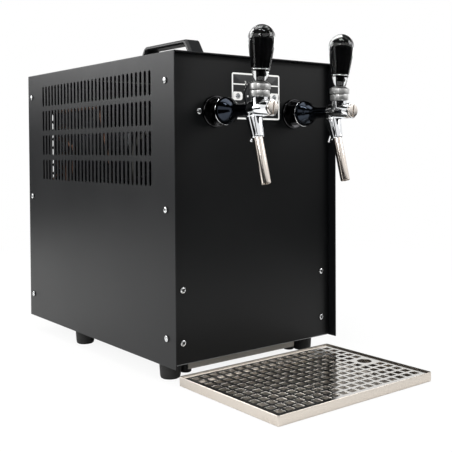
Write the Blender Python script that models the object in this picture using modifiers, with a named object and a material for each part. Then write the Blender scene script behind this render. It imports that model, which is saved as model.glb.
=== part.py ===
"""Two-tap draft beer dispenser: a dry cooler in a sheet-metal cabinet, with a loose drip tray.

Metres, +Z up. X runs to the right seen from the front, Y runs from the taps to the back, and the
origin is on the table, under the middle of the cabinet and its tray taken together.
"""
from math import atan2, cos, pi, radians, sin, sqrt, tau

import bmesh
import bpy
from mathutils import Matrix, Vector

# Driving dimensions: the cabinet
COVER_WIDTH = 0.311
COVER_DEPTH = 0.484
COVER_ABOVE_TAPS = 0.0817
GROUND_CLEARANCE = 0.0263
SHEET = 0.0015
SEAT = 0.0003
CUT_OVERRUN = 0.004
PANEL_SETBACK = 0.0135
PANEL_LIFT = 0.0021
REAR_SETBACK = 0.006
RETURN_DEPTH = 0.026
PAN_FLANGE_HEIGHT = 0.045

# Driving dimensions: air slots
SLOT_WIDTH = 0.0062
SLOT_HEIGHT = 0.0357
SLOT_PITCH = 0.01232
SLOT_ROW_PITCH = 0.0432
SLOT_FRONT_MARGIN = 0.0630
SLOT_TOP_MARGIN = 0.0407
SLOT_COLUMNS = 30
SLOT_ROWS = 4
REAR_SLOT_WIDTH = 0.0055
REAR_SLOT_HEIGHT = 0.0126
REAR_SLOT_PITCH = 0.0250
REAR_SLOT_ROW_PITCH = 0.0160
REAR_SLOT_WALL_MARGIN = 0.041
REAR_SLOT_TOP_MARGIN = 0.0753
REAR_SLOT_COLUMNS = 4
REAR_SLOT_ROWS = 8

# Driving dimensions: screws
SCREW_RADIUS = 0.0019
SCREW_HEAD_RADIUS = 0.0043
SCREW_HEAD_HEIGHT = 0.0024
SCREW_LENGTH = 0.0070
SCREW_HOLE_CLEARANCE = 0.0003
SIDE_SCREW_FRONT_MARGIN = 0.0222
SIDE_SCREW_REAR_MARGIN = 0.0156
SIDE_SCREW_END_MARGIN = 0.0400
PANEL_SCREW_SIDE_MARGIN = 0.0208
PANEL_SCREW_LOW = 0.0319
PANEL_SCREW_RISE = 0.0746
TAP_SCREW_OFFSET = 0.0288

# Driving dimensions: feet and cross rail
FOOT_TOP_RADIUS = 0.0163
FOOT_BOTTOM_RADIUS = 0.0146
FOOT_EDGE = 0.0030
FOOT_SIDE_MARGIN = 0.0259
FOOT_FRONT_MARGIN = 0.0539
FOOT_SPACING = 0.2646
RAIL_SIDE_MARGIN = 0.0515
RAIL_FRONT_MARGIN = 0.0450
RAIL_DEPTH = 0.030
RAIL_HEIGHT = 0.0174
BUFFER_RADIUS = 0.0087
BUFFER_END_MARGIN = 0.002
BUFFER_BOTTOM = 0.0035

# Driving dimensions: taps
TAP_SPACING = 0.151
TAP_HEIGHT = 0.3583
FLANGE_RADIUS = 0.0232
FLANGE_THICKNESS = 0.0043
FLANGE_DISH = 0.0014
FLANGE_RIM = 0.0040
SHANK_RADIUS = 0.0100
SHANK_REAR_REACH = 0.040
BARB_LENGTH = 0.020
BARB_RADIUS = 0.0060
BARB_BORE = 0.0035
HEX_FLATS = 0.0250
HEX_LENGTH = 0.0205
LOCK_NUT_LENGTH = 0.008
BELL_RADIUS = 0.0197
BELL_LENGTH = 0.0290
BELL_EDGE = 0.0030
TAIL_RADIUS = 0.0082
BODY_START = 0.0815
BODY_END = 0.1255
BODY_RADIUS = 0.0114
NECK_PLACE = 0.1000
NECK_RADIUS = 0.0110
NECK_HEIGHT = 0.0155
PIVOT_HEIGHT = 0.0200
BALL_RADIUS = 0.0079
BALL_BORE_CLEARANCE = 0.0003
NECK_NUT_RADIUS = 0.0134
NECK_NUT_HEIGHT = 0.0087
NUT_CHAMFER = 0.0011
PLUG_RADIUS = 0.0095
PLUG_SEAT_DEPTH = 0.0020
PLUG_PROUD = 0.0026
PLUG_SLOT_WIDTH = 0.0017
PLUG_SLOT_DEPTH = 0.0012
SPOUT_PLACE = 0.0848
SPOUT_TILT = radians(15.2)
SPOUT_BOSS_REACH = 0.0095
SPOUT_TOP_RADIUS = 0.0117
SPOUT_END = 0.0408
SPOUT_END_RADIUS = 0.0085
SPOUT_BORE = 0.0040
NOZZLE_RADIUS = 0.0068
NOZZLE_WALL = 0.0008
NOZZLE_INSERTION = 0.0080
NOZZLE_END = 0.1042
FLOW_PIN_RADIUS = 0.0030
FLOW_HUB_RADIUS = 0.0055
FLOW_HUB_THICKNESS = 0.0032
FLOW_ARM_LENGTH = 0.0476
FLOW_ARM_RADIUS = 0.0012
FLOW_BALL_RADIUS = 0.0020
FLOW_REST_ANGLE = radians(25.4)

# Driving dimensions: tap levers, which stand a little forward at rest
LEVER_REST_ANGLE = radians(3.5)
STEM_RADIUS = 0.0030
STEM_TOP = 0.0300
TONGUE_RADIUS = 0.0018
TONGUE_REACH = 0.0097
COLLAR_RADIUS = 0.0143
COLLAR_START = 0.0053
COLLAR_GAP = 0.0006
COLLAR_CEILING = 0.0122
COLLAR_EDGE_HEIGHT = 0.0128
COLLAR_TOP = 0.0163
COLLAR_TOP_RADIUS = 0.0090
HANDLE_BASE_RADIUS = 0.0088
HANDLE_WAIST = 0.0316
HANDLE_WAIST_RADIUS = 0.0120
HANDLE_STEP = 0.0007
HANDLE_WIDE = 0.0735
HANDLE_RADIUS = 0.0185
HANDLE_TOP = 0.0920
CORE_BASE_RADIUS = 0.0048
CORE_WAIST_RADIUS = 0.0061
CORE_LOW_RADIUS = 0.0106
CORE_HIGH_RADIUS = 0.0114
CORE_TOP = 0.0830

# Driving dimensions: control label and thermostat
LABEL_WIDTH = 0.0916
LABEL_HEIGHT = 0.0677
LABEL_RISE = 0.0240
LABEL_THICKNESS = 0.0008
LABEL_SCREW_SPACING = 0.0703
KNOB_RADIUS = 0.0225
KNOB_SKIRT = 0.0025
KNOB_SKIRT_EDGE = 0.0012
KNOB_GRIP_RADIUS = 0.0140
KNOB_HEIGHT = 0.0170
SPINDLE_RADIUS = 0.0030
SPINDLE_REACH = 0.0100
THERMOSTAT_WIDTH = 0.036
THERMOSTAT_HEIGHT = 0.046
THERMOSTAT_DEPTH = 0.028

# Driving dimensions: carry handle
GRIP_HEIGHT = 0.0460
GRIP_WIDTH = 0.0300
GRIP_TOP_LENGTH = 0.1310
GRIP_BASE_LENGTH = 0.1900
GRIP_BAR = 0.0090
GRIP_LEG = 0.0150
GRIP_EDGE = 0.0030

# Driving dimensions: drip tray
TRAY_WIDTH = 0.2886
TRAY_DEPTH = 0.2100
TRAY_HEIGHT = 0.0140
TRAY_TUCK = 0.0101
TRAY_WALL = 0.0012
TRAY_CORNER = 0.0060
GRILLE_CLEARANCE = 0.0006
GRILLE_DROP = 0.0022
GRILLE_SHEET = 0.0012
GRILLE_PITCH = 0.01587
GRILLE_HOLE = 0.0113
GRILLE_COLUMNS = 17
GRILLE_ROWS = 12
FINGER_HOLE_RADIUS = 0.0110

# Driving dimensions: refrigeration
CORE_RADIUS = 0.0465
CORE_HEIGHT = 0.118
CORE_DEPTH_PLACE = 0.112
JACKET_WALL = 0.014
JACKET_FLOOR = 0.014
JACKET_HEIGHT = 0.110
COIL_TUBE_RADIUS = 0.0045
COIL_TURN_PITCH = 0.024
COIL_TURNS = 4
COIL_BASE = 0.0125
COIL_STEPS = 12
COMPRESSOR_RADIUS = 0.068
COMPRESSOR_HEIGHT = 0.150
COMPRESSOR_SIDE_ROOM = 0.046
COMPRESSOR_DEPTH_PLACE = 0.315
COMPRESSOR_PLATE = 0.0025
COMPRESSOR_FOOT_SPACING = 0.108
GROMMET_RADIUS = 0.0085
GROMMET_HEIGHT = 0.0090
CONDENSER_SIDE_ROOM = 0.046
CONDENSER_REAR_ROOM = 0.030
CONDENSER_THICKNESS = 0.040
CONDENSER_TOP_ROOM = 0.023
CONDENSER_HEIGHT = 0.186
BEND_TUBE_RADIUS = 0.00425
BEND_STUB = 0.0040
BEND_ROW_PITCH = 0.0256
BEND_ROWS = 5
PIPE_RADIUS = 0.0032
FAN_RADIUS = 0.072
FAN_TIP_CLEARANCE = 0.004
FAN_HUB_RADIUS = 0.016
FAN_HUB_LENGTH = 0.012
FAN_BLADES = 5
FAN_BLADE_CHORD = 0.030
FAN_BLADE_THICKNESS = 0.0016
FAN_BLADE_PITCH = radians(28.0)
SHROUD_DEPTH = 0.022
SHROUD_STRUT_WIDTH = 0.040
MOTOR_RADIUS = 0.030
MOTOR_LENGTH = 0.045
SHAFT_RADIUS = 0.0025
DRIER_RADIUS = 0.0095
DRIER_LENGTH = 0.110
DRIER_WALL_ROOM = 0.026
DRIER_DEPTH_PLACE = 0.165
DRIER_RISE = 0.070
DISCHARGE_FRONT = 0.245
LOOP_OFFSET = 0.045
LOOP_DROP = 0.0629

# Driving dimensions: rear fittings
FITTING_RADIUS = 0.0100
FITTING_REACH = 0.0300
FITTING_INNER_REACH = 0.0120
FITTING_BORE = 0.0048
FITTING_FLANGE = 0.0140
FITTING_FLANGE_THICKNESS = 0.0030
FITTING_WALL_ROOM = 0.026
FITTING_SPACING = 0.032
FITTING_RISE = 0.0500
INLET_WIDTH = 0.030
INLET_HEIGHT = 0.058
INLET_DEPTH = 0.026
INLET_FLANGE = 0.0040
INLET_FLANGE_THICKNESS = 0.0025
INLET_WALL_ROOM = 0.059
INLET_RISE = 0.070
INLET_SOCKET_WIDTH = 0.0220
INLET_SOCKET_HEIGHT = 0.0160
INLET_SOCKET_DEPTH = 0.0150
ROCKER_WIDTH = 0.0130
ROCKER_HEIGHT = 0.0200
ROCKER_CLEARANCE = 0.0006
ROCKER_DEPTH = 0.0080
ROCKER_PROUD = 0.0022
ROCKER_TILT = radians(7.0)
ROCKER_OFFSET = 0.0130

# Segment counts
ROUND_STEPS = 16
SMALL_STEPS = 12
SCREW_STEPS = 6
ROUTE_STEPS = 3

# Derived sizes and places
COVER_HEIGHT = TAP_HEIGHT + COVER_ABOVE_TAPS
COVER_TOP = GROUND_CLEARANCE + COVER_HEIGHT
TRAY_REACH = TRAY_DEPTH - TRAY_TUCK
REAR_FACE_DEPTH = COVER_DEPTH - REAR_SETBACK
BACK_REACH = REAR_FACE_DEPTH + FITTING_REACH
FRONT_Y = (TRAY_REACH - BACK_REACH) / 2
PANEL_Y = FRONT_Y + PANEL_SETBACK
REAR_Y = FRONT_Y + REAR_FACE_DEPTH
WALL_INSIDE = COVER_WIDTH / 2 - SHEET
RETURN_OUTSIDE = WALL_INSIDE - SEAT
PAN_HALF_WIDTH = RETURN_OUTSIDE - SHEET - SEAT
RAIL_LENGTH = COVER_WIDTH - 2 * RAIL_SIDE_MARGIN
BUFFER_SPACING = RAIL_LENGTH - 2 * BUFFER_END_MARGIN
PANEL_SCREW_SPACING = COVER_WIDTH - 2 * PANEL_SCREW_SIDE_MARGIN
TAP_SCREW_SPACING = TAP_SPACING + 2 * TAP_SCREW_OFFSET
REAR_SLOT_SIDE = WALL_INSIDE - REAR_SLOT_WALL_MARGIN
COMPRESSOR_SIDE_PLACE = WALL_INSIDE - COMPRESSOR_SIDE_ROOM - COMPRESSOR_RADIUS
CONDENSER_HALF_WIDTH = WALL_INSIDE - CONDENSER_SIDE_ROOM
DRIER_SIDE_PLACE = WALL_INSIDE - DRIER_WALL_ROOM
FITTING_SIDE_PLACE = WALL_INSIDE - FITTING_WALL_ROOM
INLET_SIDE_PLACE = WALL_INSIDE - INLET_WALL_ROOM
PAN_TOP = GROUND_CLEARANCE + SHEET
PANEL_BOTTOM = GROUND_CLEARANCE + PANEL_LIFT
PANEL_TOP = COVER_TOP - SHEET - SEAT
FRONT_SCREW_Y = FRONT_Y + SIDE_SCREW_FRONT_MARGIN
REAR_SCREW_Y = FRONT_Y + COVER_DEPTH - SIDE_SCREW_REAR_MARGIN
PAN_FRONT_Y = PANEL_Y + SHEET + SEAT
PAN_REAR_Y = REAR_Y - SHEET - SEAT
TAP_Z = GROUND_CLEARANCE + TAP_HEIGHT
LABEL_Z = TAP_Z + LABEL_RISE
SCREW_HOLE_RADIUS = SCREW_RADIUS + SCREW_HOLE_CLEARANCE
SHANK_HOLE_RADIUS = SHANK_RADIUS + SEAT
BALL_BORE = BALL_RADIUS + BALL_BORE_CLEARANCE
TRAY_BACK_Y = FRONT_Y + TRAY_TUCK
TRAY_MIDDLE_Y = TRAY_BACK_Y - TRAY_DEPTH / 2
GRILLE_TOP = TRAY_HEIGHT - GRILLE_DROP
COIL_RADIUS = (CORE_RADIUS + SEAT + COIL_TUBE_RADIUS) / cos(pi / COIL_STEPS)
JACKET_INSIDE = (COIL_RADIUS + COIL_TUBE_RADIUS + SEAT) / cos(pi / ROUND_STEPS)
JACKET_RADIUS = JACKET_INSIDE + JACKET_WALL
CORE_Y = FRONT_Y + CORE_DEPTH_PLACE
JACKET_BASE = PAN_TOP + SEAT
JACKET_FLOOR_TOP = JACKET_BASE + JACKET_FLOOR
CORE_BASE_Z = JACKET_FLOOR_TOP + SEAT
CONDENSER_Y = REAR_Y - CONDENSER_REAR_ROOM - CONDENSER_THICKNESS
CONDENSER_TOP = COVER_TOP - SHEET - CONDENSER_TOP_ROOM
CONDENSER_Z = CONDENSER_TOP - CONDENSER_HEIGHT
FAN_Z = CONDENSER_Z + CONDENSER_HEIGHT / 2
COMPRESSOR_Y = FRONT_Y + COMPRESSOR_DEPTH_PLACE
COMPRESSOR_PLATE_Z = PAN_TOP + SEAT + GROMMET_HEIGHT

# Trumpet of the shank: (share from the wide rim to the tail, share of the length from the rim on)
BELL_PROFILE_SHARES = ((0.00, 0.00), (0.04, 0.12), (0.27, 0.30), (0.58, 0.50), (0.83, 0.72),
                       (0.95, 0.88))

FORWARD = (radians(90), 0, 0)
BACKWARD = (radians(-90), 0, 0)
UPRIGHT = (0, 0, 0)
SECTION_ALONG_X = Matrix(((0, 0, 1, 0), (1, 0, 0, 0), (0, 1, 0, 0), (0, 0, 0, 1)))
SECTION_ALONG_Y = Matrix(((1, 0, 0, 0), (0, 0, -1, 0), (0, 1, 0, 0), (0, 0, 0, 1)))

PARTS = "beer_dispenser"
CUTTERS = "beer_dispenser_cutters"
SIDES = (("left", -1), ("right", 1))


def start_scene():
    """Empty the scene and make one collection for the parts and one for the cutters."""
    for old in list(bpy.data.objects):
        bpy.data.objects.remove(old, do_unlink=True)
    for name in (PARTS, CUTTERS):
        collection = bpy.data.collections.new(name)
        bpy.context.scene.collection.children.link(collection)


def linear(channel):
    """Turn one sRGB channel into its linear value."""
    return channel / 12.92 if channel <= 0.04045 else ((channel + 0.055) / 1.055) ** 2.4


def material(name, colour, roughness, metallic=0.0, transmission=0.0):
    """Make a Principled material from an sRGB hex colour."""
    made = bpy.data.materials.new(name)
    made.use_nodes = True
    shader = made.node_tree.nodes["Principled BSDF"]
    channels = [linear(int(colour[at:at + 2], 16) / 255) for at in (0, 2, 4)]
    shader.inputs["Base Color"].default_value = (*channels, 1.0)
    shader.inputs["Roughness"].default_value = roughness
    shader.inputs["Metallic"].default_value = metallic
    shader.inputs["Transmission Weight"].default_value = transmission
    made.diffuse_color = (*channels, 1.0)
    return made


def make_materials():
    """Every finish on the object, by its name."""
    return {
        "black_powder_coat": material("black_powder_coat", "3A3B3C", 0.55),
        "chrome": material("chrome", "D8DADC", 0.06, 1.0),
        "satin_steel": material("satin_steel", "C9C4BE", 0.32, 1.0),
        "galvanised_steel": material("galvanised_steel", "9DA0A1", 0.45, 1.0),
        "black_rubber": material("black_rubber", "1B1B1C", 0.80),
        "black_plastic": material("black_plastic", "1E1F20", 0.40),
        "gloss_black": material("gloss_black", "0B0B0C", 0.12),
        "clear_acrylic": material("clear_acrylic", "F4F6F6", 0.03, 0.0, 1.0),
        "label_film": material("label_film", "202122", 0.45),
        "copper": material("copper", "B46A45", 0.30, 1.0),
        "aluminium": material("aluminium", "B9BCBE", 0.35, 1.0),
        "insulation_foam": material("insulation_foam", "2B2C2D", 0.90),
    }


def add_mesh(name, mesh, finish, location=(0, 0, 0), rotation=UPRIGHT, parent=None):
    """Put a mesh in the scene as one named part with its finish."""
    mesh.name = name
    made = bpy.data.objects.new(name, mesh)
    bpy.data.collections[PARTS].objects.link(made)
    made.location = location
    made.rotation_euler = rotation
    mesh.materials.clear()
    mesh.materials.append(finish)
    if parent is not None:
        made.parent = parent
        made.location = Vector(location) - Vector(parent.location)
    return made


def bake(source, smooth_angle=None):
    """Turn an object with modifiers, or a curve, into a closed mesh and remove the object."""
    view = bpy.context.evaluated_depsgraph_get()
    mesh = bpy.data.meshes.new_from_object(source.evaluated_get(view))
    shape = bmesh.new()
    shape.from_mesh(mesh)
    bmesh.ops.remove_doubles(shape, verts=shape.verts, dist=SEAT / 30)
    shape.to_mesh(mesh)
    shape.free()
    bpy.data.objects.remove(source, do_unlink=True)
    if smooth_angle is not None:
        mesh.shade_smooth()
        mesh.set_sharp_from_angle(angle=smooth_angle)
    return mesh


def boxes_mesh(corner_pairs):
    """Several boxes, each between its two corners, in one mesh."""
    shape = bmesh.new()
    for low, high in corner_pairs:
        size = [top - bottom for bottom, top in zip(low, high)]
        middle = [(top + bottom) / 2 for bottom, top in zip(low, high)]
        place = Matrix.Translation(middle) @ Matrix.Diagonal((*size, 1.0))
        bmesh.ops.create_cube(shape, size=1.0, matrix=place)
    mesh = bpy.data.meshes.new("boxes")
    shape.to_mesh(mesh)
    shape.free()
    return mesh


def box_mesh(low, high):
    """A box between two corners."""
    return boxes_mesh([(low, high)])


def rods_mesh(places, radius, length, axis, steps=SCREW_STEPS):
    """Several equal cylinders centred on places, along one axis, in one mesh."""
    shape = bmesh.new()
    turn = Vector((0, 0, 1)).rotation_difference(Vector(axis)).to_matrix().to_4x4()
    for place in places:
        bmesh.ops.create_cone(shape, cap_ends=True, segments=steps, radius1=radius, radius2=radius,
                              depth=length, matrix=Matrix.Translation(place) @ turn)
    mesh = bpy.data.meshes.new("rods")
    shape.to_mesh(mesh)
    shape.free()
    return mesh


def turned_mesh(profile, steps=ROUND_STEPS, closed=False):
    """Turn a profile of (radius, height) points, listed top to bottom, about the Z axis."""
    mesh = bpy.data.meshes.new("profile")
    points = [(radius, 0, height) for radius, height in profile]
    edges = [(at, at + 1) for at in range(len(points) - 1)]
    if closed:
        edges.append((len(points) - 1, 0))
    mesh.from_pydata(points, edges, [])
    source = bpy.data.objects.new("profile", mesh)
    bpy.context.scene.collection.objects.link(source)
    screw = source.modifiers.new("Turn", "SCREW")
    screw.steps = steps
    screw.render_steps = steps
    screw.use_merge_vertices = True
    screw.merge_threshold = SEAT / 30
    return bake(source, radians(35))


def outline_mesh(points, thickness):
    """A flat outline in XY, filled and thickened evenly to both sides of its plane."""
    curve = bpy.data.curves.new("outline", "CURVE")
    curve.dimensions = "2D"
    curve.fill_mode = "BOTH"
    curve.extrude = thickness / 2
    spline = curve.splines.new("POLY")
    spline.points.add(len(points) - 1)
    for point, (across, along) in zip(spline.points, points):
        point.co = (across, along, 0, 1)
    spline.use_cyclic_u = True
    source = bpy.data.objects.new("outline", curve)
    bpy.context.scene.collection.objects.link(source)
    return bake(source)


def tube_mesh(points, radius, resolution=1):
    """A round tube along a list of points, with closed ends."""
    curve = bpy.data.curves.new("tube", "CURVE")
    curve.dimensions = "3D"
    curve.bevel_depth = radius
    curve.bevel_resolution = resolution
    curve.use_fill_caps = True
    spline = curve.splines.new("POLY")
    spline.points.add(len(points) - 1)
    for point, place in zip(spline.points, points):
        point.co = (*place, 1)
    source = bpy.data.objects.new("tube", curve)
    bpy.context.scene.collection.objects.link(source)
    return bake(source, radians(50))


def merged_mesh(meshes):
    """Put separate solids side by side in one mesh."""
    shape = bmesh.new()
    for mesh in meshes:
        shape.from_mesh(mesh)
    merged = bpy.data.meshes.new("merged")
    shape.to_mesh(merged)
    shape.free()
    return merged


def moved_mesh(mesh, place):
    """Move a mesh by a matrix, in its own coordinates."""
    mesh.transform(place)
    return mesh


def combine(target, tool_mesh, operation, location=(0, 0, 0), rotation=UPRIGHT):
    """Cut the target with a tool mesh, or join the tool mesh to it."""
    tool = bpy.data.objects.new(f"{target.name}_{operation.lower()}_tool", tool_mesh)
    bpy.data.collections[CUTTERS].objects.link(tool)
    tool.location = location
    tool.rotation_euler = rotation
    tool.hide_render = True
    tool.display_type = "WIRE"
    step = target.modifiers.new(operation.title(), "BOOLEAN")
    step.operation = operation
    step.solver = "EXACT"
    step.object = tool


def cut(target, tool_mesh, location=(0, 0, 0), rotation=UPRIGHT):
    """Cut a tool mesh out of the target."""
    combine(target, tool_mesh, "DIFFERENCE", location, rotation)


def join(target, tool_mesh, location=(0, 0, 0), rotation=UPRIGHT):
    """Join a tool mesh to the target."""
    combine(target, tool_mesh, "UNION", location, rotation)


def hexagon(flats):
    """Corners of a hexagon with points to the left and right."""
    corner = flats / sqrt(3)
    return [(corner * cos(tau * at / 6), corner * sin(tau * at / 6)) for at in range(6)]


def arc(centre, radius, start, end, steps):
    """Points along an arc, both ends included, angles in radians."""
    turns = [start + (end - start) * at / steps for at in range(steps + 1)]
    return [(centre[0] + radius * cos(turn), centre[1] + radius * sin(turn)) for turn in turns]


def rounded_rectangle(half_width, half_height, radius, steps=4):
    """A rectangle about the origin with round corners."""
    corners = []
    for across, along, start in ((1, 1, 0), (-1, 1, 90), (-1, -1, 180), (1, -1, 270)):
        centre = (across * (half_width - radius), along * (half_height - radius))
        corners += arc(centre, radius, radians(start), radians(start + 90), steps)
    return corners


def smooth_route(waypoints, steps):
    """Points on a smooth curve through the waypoints, whose first and last stretches run straight."""
    knots = [Vector(point) for point in waypoints]
    route = [knots[0]]
    for before, start, end, after in zip(knots, knots[1:], knots[2:], knots[3:]):
        for at in range(steps):
            share = at / steps
            blend = ((-before + start * 3 - end * 3 + after) * share ** 3
                     + (before * 2 - start * 5 + end * 4 - after) * share ** 2
                     + (end - before) * share + start * 2)
            route.append(blend / 2)
    return route + knots[-2:]


def slot_places(columns, rows, column_pitch, row_pitch, first_column, top_row):
    """Centres of a regular pattern, column by column from the first, row by row downward."""
    return [(first_column + column * column_pitch, top_row - row * row_pitch)
            for column in range(columns) for row in range(rows)]


def side_screw_places():
    """Where the six screws of one side sit, as (y, z)."""
    low = GROUND_CLEARANCE + SIDE_SCREW_END_MARGIN
    high = COVER_TOP - SIDE_SCREW_END_MARGIN
    return [(along, height)
            for along in (FRONT_SCREW_Y, REAR_SCREW_Y) for height in (low, (low + high) / 2, high)]


def pan_screw_places():
    """Where the front panel is screwed to the pan, as (x, z)."""
    height = GROUND_CLEARANCE + PANEL_SCREW_LOW
    return [(side * PANEL_SCREW_SPACING / 2, height) for side in (-1, 1)]


def panel_screw_places():
    """Where the screws that stay in the front panel sit, as (x, z): above the pan and beside the taps."""
    above_pan = [(across, height + PANEL_SCREW_RISE) for across, height in pan_screw_places()]
    return above_pan + [(side * TAP_SCREW_SPACING / 2, TAP_Z) for side in (-1, 1)]


def label_screw_places():
    """Where the two screws of the control label sit, as (x, z)."""
    return [(side * LABEL_SCREW_SPACING / 2, LABEL_Z) for side in (-1, 1)]


def dome_screw_mesh():
    """A screw along Z, its domed head above the origin and its shank below."""
    dome = [(SCREW_HEAD_RADIUS * sin(turn), SCREW_HEAD_HEIGHT * cos(turn))
            for turn in (pi / 2 * at / 3 for at in range(3))]
    dome.append((SCREW_HEAD_RADIUS, 0))
    shank = [(SCREW_RADIUS, 0), (SCREW_RADIUS, -SCREW_LENGTH), (0, -SCREW_LENGTH)]
    return turned_mesh(dome + shank, SCREW_STEPS)


def side_screws_mesh(along_wanted):
    """The six side screws of one column, their heads outside the cover and their shanks in it."""
    screws = []
    for side in (-1, 1):
        turn = Matrix.Rotation(side * pi / 2, 4, "Y")
        for along, height in side_screw_places():
            if along == along_wanted:
                place = Matrix.Translation((side * (COVER_WIDTH / 2 + SEAT), along, height))
                screws.append(moved_mesh(dome_screw_mesh(), place @ turn))
    return merged_mesh(screws)


def front_screws_mesh(places, head_base):
    """Screws driven in from the front at these (x, z) places, their heads on one plane."""
    turn = Matrix.Rotation(pi / 2, 4, "X")
    screws = []
    for across, height in places:
        place = Matrix.Translation((across, head_base, height))
        screws.append(moved_mesh(dome_screw_mesh(), place @ turn))
    return merged_mesh(screws)


def build_base_pan(finishes):
    """Galvanised floor pan, bent up at both ends, with the panel's two lowest screws in its front."""
    low, high = GROUND_CLEARANCE, PAN_TOP + PAN_FLANGE_HEIGHT
    section = [(PAN_FRONT_Y, high), (PAN_FRONT_Y, low), (PAN_REAR_Y, low), (PAN_REAR_Y, high),
               (PAN_REAR_Y - SHEET, high), (PAN_REAR_Y - SHEET, PAN_TOP),
               (PAN_FRONT_Y + SHEET, PAN_TOP), (PAN_FRONT_Y + SHEET, high)]
    mesh = moved_mesh(outline_mesh(section, 2 * PAN_HALF_WIDTH), SECTION_ALONG_X)
    pan = add_mesh("base_pan", mesh, finishes["galvanised_steel"])
    join(pan, front_screws_mesh(pan_screw_places(), PANEL_Y - SEAT))


def build_feet(finishes):
    """Four tapered rubber feet under the pan."""
    top = GROUND_CLEARANCE - SEAT
    edge = arc((FOOT_BOTTOM_RADIUS - FOOT_EDGE, FOOT_EDGE), FOOT_EDGE, 0, -pi / 2, 3)
    profile = [(0, top), (FOOT_TOP_RADIUS, top), *edge, (0, 0)]
    across = COVER_WIDTH / 2 - FOOT_SIDE_MARGIN
    first = FRONT_Y + FOOT_FRONT_MARGIN
    for side_name, side in SIDES:
        for end_name, along in (("front", first), ("rear", first + FOOT_SPACING)):
            add_mesh(f"foot_{end_name}_{side_name}", turned_mesh(profile, SMALL_STEPS),
                     finishes["black_rubber"], (side * across, along, 0))


def build_cross_rail(finishes):
    """Angle rail under the pan between the front feet, with a rubber buffer behind each end."""
    front = FRONT_Y + RAIL_FRONT_MARGIN
    top = GROUND_CLEARANCE - SEAT
    section = [(front, top), (front, top - RAIL_HEIGHT), (front + SHEET, top - RAIL_HEIGHT),
               (front + SHEET, top - SHEET), (front + RAIL_DEPTH, top - SHEET),
               (front + RAIL_DEPTH, top)]
    mesh = moved_mesh(outline_mesh(section, RAIL_LENGTH), SECTION_ALONG_X)
    add_mesh("cross_rail", mesh, finishes["galvanised_steel"])
    buffer_top = top - SHEET - SEAT
    height = buffer_top - BUFFER_BOTTOM
    along = front + SHEET + SEAT + BUFFER_RADIUS
    for side_name, side in SIDES:
        place = (side * BUFFER_SPACING / 2, along, BUFFER_BOTTOM + height / 2)
        buffer_mesh = rods_mesh([(0, 0, 0)], BUFFER_RADIUS, height, (0, 0, 1), SMALL_STEPS)
        add_mesh(f"rail_buffer_{side_name}", buffer_mesh, finishes["black_rubber"], place)


def build_front_panel(finishes):
    """Front sheet set back inside the cover, with a return along each side wall."""
    outer, inner = RETURN_OUTSIDE, RETURN_OUTSIDE - SHEET
    back = PANEL_Y + RETURN_DEPTH
    section = [(-outer, PANEL_Y), (outer, PANEL_Y), (outer, back), (inner, back),
               (inner, PANEL_Y + SHEET), (-inner, PANEL_Y + SHEET), (-inner, back), (-outer, back)]
    mesh = outline_mesh(section, PANEL_TOP - PANEL_BOTTOM)
    panel = add_mesh("front_panel", mesh, finishes["black_powder_coat"],
                     (0, 0, (PANEL_TOP + PANEL_BOTTOM) / 2))
    thickness = SHEET + 2 * CUT_OVERRUN
    middle = PANEL_Y + SHEET / 2
    screws = [(across, middle, height)
              for across, height in pan_screw_places() + label_screw_places()]
    cut(panel, rods_mesh(screws, SCREW_HOLE_RADIUS, thickness, (0, 1, 0)))
    taps = [(side * TAP_SPACING / 2, middle, TAP_Z) for side in (-1, 1)]
    cut(panel, rods_mesh(taps, SHANK_HOLE_RADIUS, thickness, (0, 1, 0), ROUND_STEPS))
    spindle = [(0, middle, LABEL_Z)]
    cut(panel, rods_mesh(spindle, SPINDLE_RADIUS + SEAT, thickness, (0, 1, 0), SMALL_STEPS))
    join(panel, side_screws_mesh(FRONT_SCREW_Y))
    join(panel, front_screws_mesh(panel_screw_places(), PANEL_Y + SEAT))


def build_rear_panel(finishes):
    """Rear sheet with its returns, air slots and the openings for the fittings and the mains inlet."""
    outer, inner = RETURN_OUTSIDE, RETURN_OUTSIDE - SHEET
    front = REAR_Y - RETURN_DEPTH
    section = [(-outer, REAR_Y), (-outer, front), (-inner, front), (-inner, REAR_Y - SHEET),
               (inner, REAR_Y - SHEET), (inner, front), (outer, front), (outer, REAR_Y)]
    mesh = outline_mesh(section, PANEL_TOP - PANEL_BOTTOM)
    panel = add_mesh("rear_panel", mesh, finishes["black_powder_coat"],
                     (0, 0, (PANEL_TOP + PANEL_BOTTOM) / 2))
    join(panel, side_screws_mesh(REAR_SCREW_Y))
    near, far = REAR_Y - SHEET - CUT_OVERRUN, REAR_Y + CUT_OVERRUN
    slots = slot_places(REAR_SLOT_COLUMNS, REAR_SLOT_ROWS, REAR_SLOT_PITCH, REAR_SLOT_ROW_PITCH,
                        -REAR_SLOT_SIDE, COVER_TOP - REAR_SLOT_TOP_MARGIN)
    half_width, half_height = REAR_SLOT_WIDTH / 2, REAR_SLOT_HEIGHT / 2
    cut(panel, boxes_mesh([((across - half_width, near, height - half_height),
                            (across + half_width, far, height + half_height))
                           for across, height in slots]))
    middle = (near + far) / 2
    fittings = [(FITTING_SIDE_PLACE, middle, height) for height in fitting_heights()]
    cut(panel, rods_mesh(fittings, FITTING_RADIUS + SEAT, far - near, (0, 1, 0), SMALL_STEPS))
    across, height = -INLET_SIDE_PLACE, inlet_height()
    half_width, half_height = INLET_WIDTH / 2 + SEAT, INLET_HEIGHT / 2 + SEAT
    cut(panel, box_mesh((across - half_width, near, height - half_height),
                        (across + half_width, far, height + half_height)))


def fitting_heights():
    """Heights of the two beer inlet fittings above the table."""
    low = PAN_TOP + PAN_FLANGE_HEIGHT + FITTING_RISE
    return low, low + FITTING_SPACING


def inlet_height():
    """Height of the middle of the mains inlet above the table."""
    return PAN_TOP + PAN_FLANGE_HEIGHT + INLET_RISE


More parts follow.
